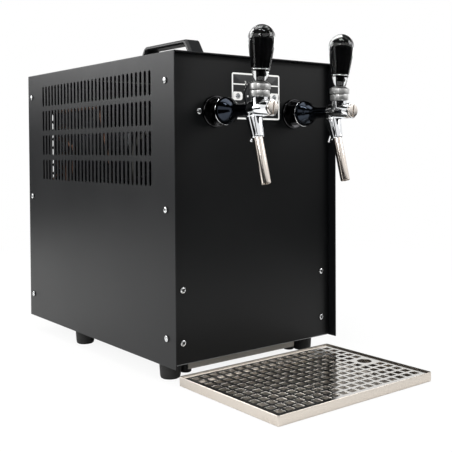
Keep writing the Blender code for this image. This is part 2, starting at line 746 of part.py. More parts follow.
def build_cover(finishes):
    """Wrap-round cover: both sides and the top in one sheet, with four rows of slots in the left."""
    outside, inside = COVER_WIDTH / 2, WALL_INSIDE
    section = [(-outside, GROUND_CLEARANCE), (-inside, GROUND_CLEARANCE),
               (-inside, COVER_TOP - SHEET), (inside, COVER_TOP - SHEET),
               (inside, GROUND_CLEARANCE), (outside, GROUND_CLEARANCE),
               (outside, COVER_TOP), (-outside, COVER_TOP)]
    mesh = moved_mesh(outline_mesh(section, COVER_DEPTH), SECTION_ALONG_Y)
    cover = add_mesh("cover", mesh, finishes["black_powder_coat"],
                     (0, FRONT_Y + COVER_DEPTH / 2, 0))
    slots = slot_places(SLOT_COLUMNS, SLOT_ROWS, SLOT_PITCH, SLOT_ROW_PITCH,
                        FRONT_Y + SLOT_FRONT_MARGIN, COVER_TOP - SLOT_TOP_MARGIN)
    half_width, half_height = SLOT_WIDTH / 2, SLOT_HEIGHT / 2
    near, far = -inside + CUT_OVERRUN, -outside - CUT_OVERRUN
    cut(cover, boxes_mesh([((far, along - half_width, height - half_height),
                            (near, along + half_width, height + half_height))
                           for along, height in slots]))
    holes = [(side * (outside - SHEET / 2), along, height)
             for side in (-1, 1) for along, height in side_screw_places()]
    cut(cover, rods_mesh(holes, SCREW_HOLE_RADIUS, SHEET + CUT_OVERRUN, (1, 0, 0)))


def build_carry_handle(finishes):
    """Plastic bridge handle on the top, running front to back."""
    half_base, half_top = GRIP_BASE_LENGTH / 2, GRIP_TOP_LENGTH / 2
    slope = (half_base - half_top) / GRIP_HEIGHT
    inner_height = GRIP_HEIGHT - GRIP_BAR
    inner_base = half_base - GRIP_LEG
    inner_top = inner_base - slope * inner_height
    outline = [(-half_base, 0), (-inner_base, 0), (-inner_top, inner_height),
               (inner_top, inner_height), (inner_base, 0), (half_base, 0),
               (half_top, GRIP_HEIGHT), (-half_top, GRIP_HEIGHT)]
    mesh = moved_mesh(outline_mesh(outline, GRIP_WIDTH), SECTION_ALONG_X)
    handle = add_mesh("carry_handle", mesh, finishes["black_plastic"],
                      (0, FRONT_Y + COVER_DEPTH / 2, COVER_TOP + SEAT))
    bevel = handle.modifiers.new("Edges", "BEVEL")
    bevel.width = GRIP_EDGE
    bevel.segments = 2
    bevel.limit_method = "ANGLE"
    bevel.angle_limit = radians(60)


def build_label_and_thermostat(finishes):
    """Control label, knob, and the thermostat behind the panel on its bracket and two screws."""
    half_width, half_height = LABEL_WIDTH / 2, LABEL_HEIGHT / 2
    back = PANEL_Y - SEAT
    front = back - LABEL_THICKNESS
    label = add_mesh("control_label", box_mesh((-half_width, front, LABEL_Z - half_height),
                                               (half_width, back, LABEL_Z + half_height)),
                     finishes["label_film"])
    screws = [(across, front, height) for across, height in label_screw_places()]
    cut(label, rods_mesh(screws, SCREW_HOLE_RADIUS, 2 * CUT_OVERRUN, (0, 1, 0)))
    cut(label, rods_mesh([(0, front, LABEL_Z)], SPINDLE_RADIUS + SEAT, 2 * CUT_OVERRUN,
                         (0, 1, 0), SMALL_STEPS))
    knob_back = front - SEAT
    profile = [(0, KNOB_HEIGHT), (KNOB_GRIP_RADIUS - KNOB_SKIRT_EDGE, KNOB_HEIGHT),
               (KNOB_GRIP_RADIUS, KNOB_HEIGHT - KNOB_SKIRT_EDGE), (KNOB_GRIP_RADIUS, KNOB_SKIRT),
               (KNOB_RADIUS - KNOB_SKIRT_EDGE, KNOB_SKIRT), (KNOB_RADIUS, KNOB_SKIRT_EDGE),
               (KNOB_RADIUS, 0), (SPINDLE_RADIUS + SEAT, 0),
               (SPINDLE_RADIUS + SEAT, SPINDLE_REACH), (0, SPINDLE_REACH)]
    add_mesh("thermostat_knob", turned_mesh(profile), finishes["black_plastic"],
             (0, knob_back, LABEL_Z), FORWARD)
    box_front = PANEL_Y + SHEET + SEAT
    half_width, half_height = THERMOSTAT_WIDTH / 2, THERMOSTAT_HEIGHT / 2
    box = add_mesh("thermostat", box_mesh((-half_width, box_front, LABEL_Z - half_height),
                                          (half_width, box_front + THERMOSTAT_DEPTH,
                                           LABEL_Z + half_height)),
                   finishes["galvanised_steel"])
    spindle_tip = knob_back - SPINDLE_REACH + SEAT
    length = box_front + THERMOSTAT_DEPTH / 2 - spindle_tip
    join(box, rods_mesh([(0, spindle_tip + length / 2, LABEL_Z)], SPINDLE_RADIUS, length,
                        (0, 1, 0), SMALL_STEPS))
    reach = LABEL_SCREW_SPACING / 2 + SCREW_HEAD_RADIUS
    join(box, box_mesh((-reach, box_front + SEAT, LABEL_Z - SCREW_HEAD_RADIUS),
                       (reach, box_front + SEAT + SHEET, LABEL_Z + SCREW_HEAD_RADIUS)))
    join(box, front_screws_mesh(label_screw_places(), front - SEAT))


def build_tap(side_name, side, finishes):
    """One tap: everything that stays still, from the flange on the panel to the nozzle."""
    across = side * TAP_SPACING / 2
    wall = Vector((across, PANEL_Y, TAP_Z))
    chrome = finishes["chrome"]

    inner = SHANK_HOLE_RADIUS
    rim_front = FLANGE_THICKNESS
    dish = rim_front - FLANGE_DISH
    loop = [(inner, dish), (FLANGE_RADIUS - FLANGE_RIM, dish),
            (FLANGE_RADIUS - FLANGE_RIM / 2, rim_front), (FLANGE_RADIUS, rim_front - FLANGE_DISH / 2),
            (FLANGE_RADIUS, SEAT), (inner, SEAT)]
    add_mesh(f"{side_name}_wall_flange", turned_mesh(loop, ROUND_STEPS, True), chrome, wall, FORWARD)

    hex_back = dish + SEAT
    nut = add_mesh(f"{side_name}_hex_nut", outline_mesh(hexagon(HEX_FLATS), HEX_LENGTH), chrome,
                   wall + Vector((0, -hex_back - HEX_LENGTH / 2, 0)), FORWARD)
    cut(nut, rods_mesh([(0, 0, 0)], inner, HEX_LENGTH + 2 * CUT_OVERRUN, (0, 0, 1), ROUND_STEPS),
        wall + Vector((0, -hex_back - HEX_LENGTH / 2, 0)), FORWARD)

    bell_start = hex_back + HEX_LENGTH + SEAT
    bell_end = bell_start + BELL_LENGTH
    tail_end = BODY_START - SEAT
    rear = -SHANK_REAR_REACH
    bell = [(BELL_RADIUS + (TAIL_RADIUS - BELL_RADIUS) * share,
             bell_start + BELL_EDGE + (BELL_LENGTH - BELL_EDGE) * rise)
            for share, rise in reversed(BELL_PROFILE_SHARES)]
    profile = [(0, tail_end), (TAIL_RADIUS, tail_end), (TAIL_RADIUS, bell_end), *bell,
               (BELL_RADIUS - BELL_EDGE / 2, bell_start), (SHANK_RADIUS, bell_start),
               (SHANK_RADIUS, rear), (BARB_RADIUS, rear), (BARB_RADIUS, rear - BARB_LENGTH),
               (BARB_BORE, rear - BARB_LENGTH), (BARB_BORE, rear), (0, rear)]
    add_mesh(f"{side_name}_shank", turned_mesh(profile), chrome, wall, FORWARD)

    lock_nut = hexagon(2 * SHANK_RADIUS + LOCK_NUT_LENGTH)
    place = wall + Vector((0, SHEET + SEAT + LOCK_NUT_LENGTH / 2, 0))
    nut = add_mesh(f"{side_name}_lock_nut", outline_mesh(lock_nut, LOCK_NUT_LENGTH),
                   finishes["satin_steel"], place, FORWARD)
    cut(nut, rods_mesh([(0, 0, 0)], inner, LOCK_NUT_LENGTH + 2 * CUT_OVERRUN, (0, 0, 1), ROUND_STEPS),
        place, FORWARD)

    build_tap_body(side_name, wall, chrome, finishes["satin_steel"])
    build_spout(side_name, wall, chrome, finishes["satin_steel"])
    build_flow_lever(side_name, wall, chrome)


def build_tap_body(side_name, wall, chrome, satin):
    """Body with its barrel, upright neck and flow pin, the end plug and the neck nut."""
    shoulder = (BODY_RADIUS - TAIL_RADIUS) / 2
    barrel = [(0, BODY_END - PLUG_SEAT_DEPTH), (PLUG_RADIUS + SEAT, BODY_END - PLUG_SEAT_DEPTH),
              (PLUG_RADIUS + SEAT, BODY_END), (BODY_RADIUS - SEAT, BODY_END),
              (BODY_RADIUS, BODY_END - PLUG_SEAT_DEPTH / 2), (BODY_RADIUS, BODY_START + shoulder),
              (TAIL_RADIUS + shoulder, BODY_START), (0, BODY_START)]
    body = add_mesh(f"{side_name}_tap_body", turned_mesh(barrel), chrome, wall, FORWARD)
    neck_foot = wall + Vector((0, -NECK_PLACE, 0))
    neck = [(0, NECK_HEIGHT), (NECK_RADIUS, NECK_HEIGHT), (NECK_RADIUS, 0), (0, 0)]
    join(body, turned_mesh(neck), neck_foot)
    spout_root = wall + Vector((0, -SPOUT_PLACE, 0))
    boss_floor = -SPOUT_BOSS_REACH - CUT_OVERRUN
    boss_reach = SPOUT_TOP_RADIUS - SHEET
    boss = [(0, 0), (boss_reach, 0), (boss_reach, boss_floor), (0, boss_floor)]
    join(body, turned_mesh(boss), spout_root, (-SPOUT_TILT, 0, 0))
    tail_room = rods_mesh([(0, SPOUT_TOP_RADIUS / 2 - BODY_START, 0)], TAIL_RADIUS + SEAT,
                          SPOUT_TOP_RADIUS, (0, 1, 0), ROUND_STEPS)
    cut(body, tail_room, wall)
    reach, floor = SPOUT_TOP_RADIUS + SEAT, -SPOUT_BOSS_REACH - 2 * BODY_RADIUS
    spout_room = [(0, -SPOUT_BOSS_REACH), (reach, -SPOUT_BOSS_REACH), (reach, floor), (0, floor)]
    cut(body, turned_mesh(spout_room), spout_root, (-SPOUT_TILT, 0, 0))
    pin_reach = BODY_RADIUS + SEAT + FLOW_HUB_THICKNESS
    join(body, rods_mesh([(pin_reach / 2, 0, 0)], FLOW_PIN_RADIUS, pin_reach, (1, 0, 0), SMALL_STEPS),
         spout_root)
    bore_floor = PIVOT_HEIGHT - TONGUE_REACH - NUT_CHAMFER
    bore_top = NECK_HEIGHT + CUT_OVERRUN
    bore = [(0, bore_top), (BALL_BORE, bore_top), (BALL_BORE, bore_floor), (0, bore_floor)]
    cut(body, turned_mesh(bore), neck_foot)

    plug_back = BODY_END - PLUG_SEAT_DEPTH + SEAT
    plug_front = BODY_END + PLUG_PROUD
    plug = [(0, plug_front), (PLUG_RADIUS - NUT_CHAMFER / 2, plug_front),
            (PLUG_RADIUS, plug_front - NUT_CHAMFER / 2), (PLUG_RADIUS, plug_back), (0, plug_back)]
    made = add_mesh(f"{side_name}_end_plug", turned_mesh(plug, SMALL_STEPS), satin, wall, FORWARD)
    half_slot = PLUG_SLOT_WIDTH / 2
    front_y = wall.y - plug_front
    cut(made, box_mesh((wall.x - half_slot, front_y - CUT_OVERRUN, wall.z - BODY_RADIUS),
                       (wall.x + half_slot, front_y + PLUG_SLOT_DEPTH, wall.z + BODY_RADIUS)))

    low, high = NECK_HEIGHT + SEAT, NECK_HEIGHT + SEAT + NECK_NUT_HEIGHT
    ring = [(BALL_BORE, high), (NECK_NUT_RADIUS - NUT_CHAMFER, high),
            (NECK_NUT_RADIUS, high - NUT_CHAMFER), (NECK_NUT_RADIUS, low + NUT_CHAMFER),
            (NECK_NUT_RADIUS - NUT_CHAMFER, low), (BALL_BORE, low)]
    add_mesh(f"{side_name}_neck_nut", turned_mesh(ring, ROUND_STEPS, True), satin, neck_foot)


def build_spout(side_name, wall, chrome, satin):
    """Tapered chrome spout under the body and the plain nozzle tube in its end, tilted forward."""
    root = wall + Vector((0, -SPOUT_PLACE, 0))
    tilt = (-SPOUT_TILT, 0, 0)
    top = SPOUT_BOSS_REACH + SEAT
    socket = SPOUT_END - NOZZLE_INSERTION
    rim = NUT_CHAMFER
    loop = [(SPOUT_BORE, -top), (SPOUT_TOP_RADIUS - rim / 2, -top), (SPOUT_TOP_RADIUS, -top - rim / 2),
            (SPOUT_TOP_RADIUS - rim / 2, -top - rim), (SPOUT_END_RADIUS, -SPOUT_END),
            (NOZZLE_RADIUS + SEAT, -SPOUT_END), (NOZZLE_RADIUS + SEAT, -socket), (SPOUT_BORE, -socket)]
    add_mesh(f"{side_name}_spout", turned_mesh(loop, ROUND_STEPS, True), chrome, root, tilt)
    inner = NOZZLE_RADIUS - NOZZLE_WALL
    start = socket + SEAT
    tube = [(inner, -start), (NOZZLE_RADIUS, -start), (NOZZLE_RADIUS, -NOZZLE_END),
            (inner, -NOZZLE_END)]
    add_mesh(f"{side_name}_nozzle", turned_mesh(tube, SMALL_STEPS, True), satin, root, tilt)


def build_flow_lever(side_name, wall, chrome):
    """Small flow lever on the right side of the body, hanging back behind the spout."""
    hub_start = BODY_RADIUS + SEAT
    pivot = wall + Vector((0, -SPOUT_PLACE, 0))
    middle = hub_start + FLOW_HUB_THICKNESS / 2
    hub = rods_mesh([(middle, 0, 0)], FLOW_HUB_RADIUS, FLOW_HUB_THICKNESS, (1, 0, 0), SMALL_STEPS)
    lever = add_mesh(f"{side_name}_flow_lever", hub, chrome, pivot)
    cut(lever, rods_mesh([(middle, 0, 0)], FLOW_PIN_RADIUS + SEAT,
                         FLOW_HUB_THICKNESS + 2 * CUT_OVERRUN, (1, 0, 0), SMALL_STEPS), pivot)
    back, down = sin(FLOW_REST_ANGLE), -cos(FLOW_REST_ANGLE)
    start = FLOW_HUB_RADIUS - FLOW_ARM_RADIUS / 2
    arm = [(middle, back * start, down * start),
           (middle, back * FLOW_ARM_LENGTH, down * FLOW_ARM_LENGTH)]
    join(lever, tube_mesh(arm, FLOW_ARM_RADIUS), pivot)
    ball = bmesh.new()
    bmesh.ops.create_uvsphere(ball, u_segments=8, v_segments=6, radius=FLOW_BALL_RADIUS)
    mesh = bpy.data.meshes.new("ball")
    ball.to_mesh(mesh)
    ball.free()
    join(lever, mesh, pivot + Vector(arm[1]))


def build_lever(side_name, side, finishes):
    """The part of a tap that tips forward: ball stem, collar nut, black core and clear shell."""
    pivot = Vector((side * TAP_SPACING / 2, PANEL_Y - NECK_PLACE, TAP_Z + PIVOT_HEIGHT))
    root = bpy.data.objects.new(f"{side_name}_lever_pivot", None)
    bpy.data.collections[PARTS].objects.link(root)
    root.location = pivot
    lean = (LEVER_REST_ANGLE, 0, 0)

    start = atan2(STEM_RADIUS, BALL_RADIUS)
    end = pi - atan2(TONGUE_RADIUS, BALL_RADIUS)
    turns = [start + (end - start) * at / 6 for at in range(7)]
    ball = [(BALL_RADIUS * sin(turn), BALL_RADIUS * cos(turn)) for turn in turns]
    stem = [(0, STEM_TOP), (STEM_RADIUS, STEM_TOP), *ball,
            (TONGUE_RADIUS, -TONGUE_REACH), (0, -TONGUE_REACH)]
    add_mesh(f"{side_name}_lever_stem", turned_mesh(stem), finishes["satin_steel"],
             pivot, lean, root)

    reach = NECK_NUT_RADIUS + COLLAR_GAP + NUT_CHAMFER / 3
    low = asin_turn(COLLAR_START, reach)
    high = asin_turn(COLLAR_CEILING, reach)
    cup = [(reach * cos(turn), reach * sin(turn))
           for turn in (low + (high - low) * at / 3 for at in range(4))]
    bore = STEM_RADIUS + SEAT
    collar = [(bore, COLLAR_TOP), (COLLAR_TOP_RADIUS, COLLAR_TOP), (COLLAR_RADIUS, COLLAR_EDGE_HEIGHT),
              (COLLAR_RADIUS, COLLAR_START), *cup, (bore, COLLAR_CEILING)]
    add_mesh(f"{side_name}_collar_nut", turned_mesh(collar, ROUND_STEPS, True),
             finishes["satin_steel"], pivot, lean, root)

    core_base = COLLAR_TOP + SEAT
    dome = [(CORE_HIGH_RADIUS * sin(turn), CORE_TOP - CORE_HIGH_RADIUS * (1 - cos(turn)))
            for turn in (pi / 2 * at / 4 for at in range(5))]
    core = [*dome, (CORE_LOW_RADIUS, HANDLE_WAIST + HANDLE_STEP),
            (CORE_WAIST_RADIUS, HANDLE_WAIST),
            (CORE_BASE_RADIUS, core_base), (bore, core_base), (bore, STEM_TOP + SEAT),
            (0, STEM_TOP + SEAT)]
    add_mesh(f"{side_name}_handle_core", turned_mesh(core), finishes["gloss_black"],
             pivot, lean, root)

    cap = HANDLE_TOP - HANDLE_WIDE
    outer_dome = [(HANDLE_RADIUS * sin(turn), HANDLE_WIDE + cap * cos(turn))
                  for turn in (pi / 2 * at / 5 for at in range(6))]
    reach = CORE_HIGH_RADIUS + SEAT
    inner_dome = [(reach * sin(turn), CORE_TOP + SEAT - reach * (1 - cos(turn)))
                  for turn in (pi / 2 * at / 4 for at in range(4, -1, -1))]
    shell = [*outer_dome, (HANDLE_WAIST_RADIUS + HANDLE_STEP, HANDLE_WAIST + 2 * HANDLE_STEP),
             (HANDLE_WAIST_RADIUS, HANDLE_WAIST), (HANDLE_BASE_RADIUS, core_base),
             (CORE_BASE_RADIUS + SEAT, core_base), (CORE_WAIST_RADIUS + SEAT, HANDLE_WAIST - SEAT),
             (CORE_LOW_RADIUS + SEAT, HANDLE_WAIST + HANDLE_STEP - SEAT), *inner_dome]
    add_mesh(f"{side_name}_handle_shell", turned_mesh(shell), finishes["clear_acrylic"],
             pivot, lean, root)


def asin_turn(height, reach):
    """Angle above level at which a circle of this reach has this height."""
    return atan2(height, sqrt(reach ** 2 - height ** 2))


def build_tray(finishes):
    """Low stainless pan with round corners and the grille that stands in it on its folded edges."""
    outer = outline_mesh(rounded_rectangle(TRAY_WIDTH / 2, TRAY_DEPTH / 2, TRAY_CORNER), TRAY_HEIGHT)
    place = (0, TRAY_MIDDLE_Y, TRAY_HEIGHT / 2)
    tray = add_mesh("drip_tray", outer, finishes["satin_steel"], place)
    hollow = outline_mesh(rounded_rectangle(TRAY_WIDTH / 2 - TRAY_WALL, TRAY_DEPTH / 2 - TRAY_WALL,
                                            TRAY_CORNER - TRAY_WALL), TRAY_HEIGHT)
    cut(tray, hollow, (0, TRAY_MIDDLE_Y, TRAY_HEIGHT / 2 + TRAY_WALL))

    half_width = TRAY_WIDTH / 2 - TRAY_WALL - GRILLE_CLEARANCE - TRAY_CORNER / 2
    half_depth = TRAY_DEPTH / 2 - TRAY_WALL - GRILLE_CLEARANCE
    low, high = TRAY_WALL + SEAT, GRILLE_TOP
    under = high - GRILLE_SHEET
    section = [(-half_depth, high), (-half_depth, low), (GRILLE_SHEET - half_depth, low),
               (GRILLE_SHEET - half_depth, under), (half_depth - GRILLE_SHEET, under),
               (half_depth - GRILLE_SHEET, low), (half_depth, low), (half_depth, high)]
    mesh = moved_mesh(outline_mesh(section, 2 * half_width - TRAY_CORNER), SECTION_ALONG_X)
    grille = add_mesh("drip_grille", mesh, finishes["satin_steel"], (0, TRAY_MIDDLE_Y, 0))
    join(grille, box_mesh((-half_width, TRAY_CORNER - half_depth, under),
                          (half_width, half_depth - TRAY_CORNER, high)), (0, TRAY_MIDDLE_Y, 0))
    places = slot_places(GRILLE_COLUMNS, GRILLE_ROWS, GRILLE_PITCH, GRILLE_PITCH,
                         -GRILLE_PITCH * (GRILLE_COLUMNS - 1) / 2,
                         GRILLE_PITCH * (GRILLE_ROWS - 1) / 2)
    finger = (GRILLE_PITCH * (GRILLE_COLUMNS / 2 - 1), 0)
    half = GRILLE_HOLE / 2
    squares = [((across - half, along - half, under - CUT_OVERRUN / 2),
                (across + half, along + half, high + CUT_OVERRUN))
               for across, along in places
               if max(abs(across - finger[0]), abs(along - finger[1])) > GRILLE_PITCH * 0.75]
    cut(grille, boxes_mesh(squares), (0, TRAY_MIDDLE_Y, 0))
    cut(grille, rods_mesh([(*finger, high)], FINGER_HOLE_RADIUS, GRILLE_SHEET + CUT_OVERRUN,
                          (0, 0, 1), SMALL_STEPS), (0, TRAY_MIDDLE_Y, 0))


def build_cold_block(finishes):
    """Insulated tub with the cooling core and the two product coils wound round it."""
    top = JACKET_BASE + JACKET_HEIGHT
    profile = [(0, JACKET_FLOOR_TOP), (JACKET_INSIDE, JACKET_FLOOR_TOP), (JACKET_INSIDE, top),
               (JACKET_RADIUS, top), (JACKET_RADIUS, JACKET_BASE), (0, JACKET_BASE)]
    jacket = add_mesh("cold_jacket", turned_mesh(profile), finishes["insulation_foam"], (0, CORE_Y, 0))
    lead = coil_start_height()
    clearance = COIL_TUBE_RADIUS + COIL_TURN_PITCH / 8
    cut(jacket, box_mesh((0, 0, lead - clearance),
                         (JACKET_RADIUS, JACKET_RADIUS, lead + COIL_TURN_PITCH / 2 + clearance)),
        (0, CORE_Y, 0))
    core = [(0, CORE_BASE_Z + CORE_HEIGHT), (CORE_RADIUS, CORE_BASE_Z + CORE_HEIGHT),
            (CORE_RADIUS, CORE_BASE_Z), (0, CORE_BASE_Z)]
    add_mesh("cold_core", turned_mesh(core), finishes["aluminium"], (0, CORE_Y, 0))


def coil_start_height():
    """Height of the first product coil where it enters the tub."""
    return CORE_BASE_Z + COIL_BASE


def coil_points(lift):
    """One product coil: turns round the core, from its rear side up, about the core's axis."""
    points = []
    for at in range(COIL_TURNS * COIL_STEPS + 1):
        turn = pi / 2 + tau * at / COIL_STEPS
        height = coil_start_height() + lift + COIL_TURN_PITCH * at / COIL_STEPS
        points.append(Vector((COIL_RADIUS * cos(turn), CORE_Y + COIL_RADIUS * sin(turn), height)))
    return points


def build_product_lines(finishes):
    """Stainless product tubes: rear fitting, along the wall, round the core and up to the shank."""
    fitting_end = REAR_Y - SHEET - FITTING_INNER_REACH - SEAT
    barb_end = PANEL_Y + SHANK_REAR_REACH + BARB_LENGTH + SEAT
    wall_x = WALL_INSIDE - SHEET
    coil_back = CORE_Y + COIL_RADIUS
    run_x = FITTING_SIDE_PLACE
    gap = COIL_TUBE_RADIUS
    for (side_name, side), lift, run_z in zip(SIDES, (0, COIL_TURN_PITCH / 2), fitting_heights()):
        coil = coil_points(lift)
        start, end = coil[0], coil[-1]
        lead_in = smooth_route([
            (run_x, fitting_end, run_z), (run_x, fitting_end - 3 * gap, run_z),
            (run_x, COMPRESSOR_Y, run_z),
            (run_x - 2 * gap, coil_back + 12 * gap, (run_z + start.z) / 2),
            (JACKET_RADIUS + 2 * gap, coil_back + 2 * gap, start.z),
            (start.x + JACKET_RADIUS / 2, coil_back, start.z)], ROUTE_STEPS)
        tap_x = side * TAP_SPACING / 2
        rise = TAP_Z - end.z
        if side < 0:
            middle = [(-JACKET_RADIUS - 4 * gap, coil_back + 2 * gap, end.z + rise * 0.20),
                      (8 * gap - wall_x, coil_back + 2 * gap, end.z + rise * 0.60),
                      (8 * gap - wall_x, coil_back - 2 * gap, end.z + rise * 0.84)]
        else:
            middle = [(-JACKET_RADIUS / 2, coil_back + 3 * gap, end.z + rise * 0.30),
                      (tap_x / 2, coil_back + 2 * gap, end.z + rise * 0.75)]
        lead_out = smooth_route([
            tuple(end), (end.x - JACKET_RADIUS / 3, coil_back, end.z + gap),
            *middle, (tap_x, barb_end + 6 * gap, TAP_Z), (tap_x, barb_end, TAP_Z)], ROUTE_STEPS)
        points = lead_in + coil + lead_out[1:]
        add_mesh(f"{side_name}_product_coil", tube_mesh(points, COIL_TUBE_RADIUS),
                 finishes["satin_steel"])


def build_compressor(finishes):
    """Hermetic compressor on its plate and the plate's four rubber grommets."""
    radius, height = COMPRESSOR_RADIUS, COMPRESSOR_HEIGHT
    dome = [(radius * sin(turn), height - radius / 2 * (1 - cos(turn)))
            for turn in (pi / 2 * at / 5 for at in range(6))]
    foot = arc((radius * 0.8, radius * 0.2), radius * 0.2, 0, -pi / 2, 3)
    can = turned_mesh([*dome, *foot, (0, 0)])
    place = (COMPRESSOR_SIDE_PLACE, COMPRESSOR_Y, COMPRESSOR_PLATE_Z + COMPRESSOR_PLATE - SEAT)
    compressor = add_mesh("compressor", can, finishes["gloss_black"], place)
    half = COMPRESSOR_FOOT_SPACING / 2 + 1.5 * GROMMET_RADIUS
    join(compressor, box_mesh((-half, -half, 0), (half, half, COMPRESSOR_PLATE)),
         (COMPRESSOR_SIDE_PLACE, COMPRESSOR_Y, COMPRESSOR_PLATE_Z))
    half = COMPRESSOR_FOOT_SPACING / 2
    low = PAN_TOP + SEAT
    length = COMPRESSOR_PLATE_Z + COMPRESSOR_PLATE / 2 - low
    places = [(COMPRESSOR_SIDE_PLACE + across * half, COMPRESSOR_Y + along * half, low + length / 2)
              for across in (-1, 1) for along in (-1, 1)]
    join(compressor, rods_mesh(places, GROMMET_RADIUS, length, (0, 0, 1), SCREW_STEPS))


def build_condenser(finishes):
    """Finned condenser between two end plates that stand on the pan, with its return bends."""
    half = CONDENSER_HALF_WIDTH
    near, far = CONDENSER_Y, CONDENSER_Y + CONDENSER_THICKNESS
    block = add_mesh("condenser", box_mesh((-half, near, CONDENSER_Z), (half, far, CONDENSER_TOP)),
                     finishes["aluminium"])
    for side in (-1, 1):
        inner, outer = sorted((side * (half - SHEET), side * (half + SHEET)))
        join(block, box_mesh((inner, near, PAN_TOP + SEAT), (outer, far, CONDENSER_TOP)))
    middle = (near + far) / 2
    for gap in range(BEND_ROWS - 1):
        side = -1 if gap % 2 == 0 else 1
        join(block, tube_mesh(return_bend(side, half, middle, bend_height(gap)), BEND_TUBE_RADIUS))


def bend_height(row):
    """Height of one tube row of the condenser."""
    return FAN_Z + (row - (BEND_ROWS - 1) / 2) * BEND_ROW_PITCH


def return_bend(side, face, middle, low):
    """Half-round bend outside an end plate, from one tube row to the next."""
    reach = BEND_ROW_PITCH / 2
    points = [(side * face, middle, low)]
    for at in range(9):
        turn = -pi / 2 + pi * at / 8
        points.append((side * (face + BEND_STUB + reach * cos(turn)), middle,
                       low + reach + reach * sin(turn)))
    points.append((side * face, middle, low + BEND_ROW_PITCH))
    return points


def build_fan(finishes):
    """Fan shroud against the condenser, its motor on the strut and the five-blade fan."""
    plate_back = CONDENSER_Y - SEAT
    plate_front = plate_back - SHEET
    half = CONDENSER_HALF_WIDTH
    reach = FAN_RADIUS + FAN_TIP_CLEARANCE
    ring_front = plate_front - SHROUD_DEPTH
    shroud = add_mesh("fan_shroud", box_mesh((-half, plate_front, CONDENSER_Z),
                                             (half, plate_back, CONDENSER_TOP)),
                      finishes["galvanised_steel"])
    ring = [(reach, SHROUD_DEPTH), (reach + SHEET, SHROUD_DEPTH), (reach + SHEET, -SHEET / 2),
            (reach, -SHEET / 2)]
    hole = rods_mesh([(0, 0, 0)], reach + SHEET / 2, 2 * CUT_OVERRUN, (0, 0, 1), ROUND_STEPS)
    cut(shroud, hole, (0, plate_back, FAN_Z), FORWARD)
    join(shroud, turned_mesh(ring, ROUND_STEPS, True), (0, plate_front, FAN_Z), FORWARD)
    strut = box_mesh((-reach - SHEET / 2, ring_front - SHEET, FAN_Z - SHROUD_STRUT_WIDTH / 2),
                     (reach + SHEET / 2, ring_front + SHEET / 2, FAN_Z + SHROUD_STRUT_WIDTH / 2))
    join(shroud, strut)
    cut(shroud, rods_mesh([(0, ring_front, FAN_Z)], 2 * SHAFT_RADIUS, 2 * CUT_OVERRUN, (0, 1, 0),
                          SMALL_STEPS))

    motor_back = ring_front - SHEET - SEAT
    hub_back = plate_front - (SHROUD_DEPTH - FAN_HUB_LENGTH) / 2
    shaft = motor_back - (hub_back - FAN_HUB_LENGTH / 2)
    profile = [(0, MOTOR_LENGTH), (MOTOR_RADIUS * 0.8, MOTOR_LENGTH), (MOTOR_RADIUS, MOTOR_LENGTH * 0.8),
               (MOTOR_RADIUS, 0), (SHAFT_RADIUS, 0), (SHAFT_RADIUS, shaft), (0, shaft)]
    add_mesh("fan_motor", turned_mesh(profile), finishes["galvanised_steel"],
             (0, motor_back, FAN_Z), FORWARD)

    bore = SHAFT_RADIUS + SEAT
    profile = [(0, FAN_HUB_LENGTH / 2 - SEAT), (bore, FAN_HUB_LENGTH / 2 - SEAT), (bore, FAN_HUB_LENGTH),
               (FAN_HUB_RADIUS, FAN_HUB_LENGTH), (FAN_HUB_RADIUS, 0), (0, 0)]
    fan = add_mesh("fan_blade", turned_mesh(profile, SMALL_STEPS), finishes["black_plastic"],
                   (0, hub_back, FAN_Z), FORWARD)
    inner, half_chord = FAN_HUB_RADIUS - FAN_BLADE_THICKNESS, FAN_BLADE_CHORD / 2
    blades = []
    for at in range(FAN_BLADES):
        blade = box_mesh((inner, -half_chord, -FAN_BLADE_THICKNESS / 2),
                         (FAN_RADIUS, half_chord, FAN_BLADE_THICKNESS / 2))
        spin = Matrix.Rotation(tau * at / FAN_BLADES, 4, "Z")
        pitch = Matrix.Rotation(FAN_BLADE_PITCH, 4, "X")
        blades.append(moved_mesh(blade, spin @ pitch))
    join(fan, moved_mesh(merged_mesh(blades), Matrix.Translation((0, 0, FAN_HUB_LENGTH / 2))),
         (0, hub_back, FAN_Z), FORWARD)


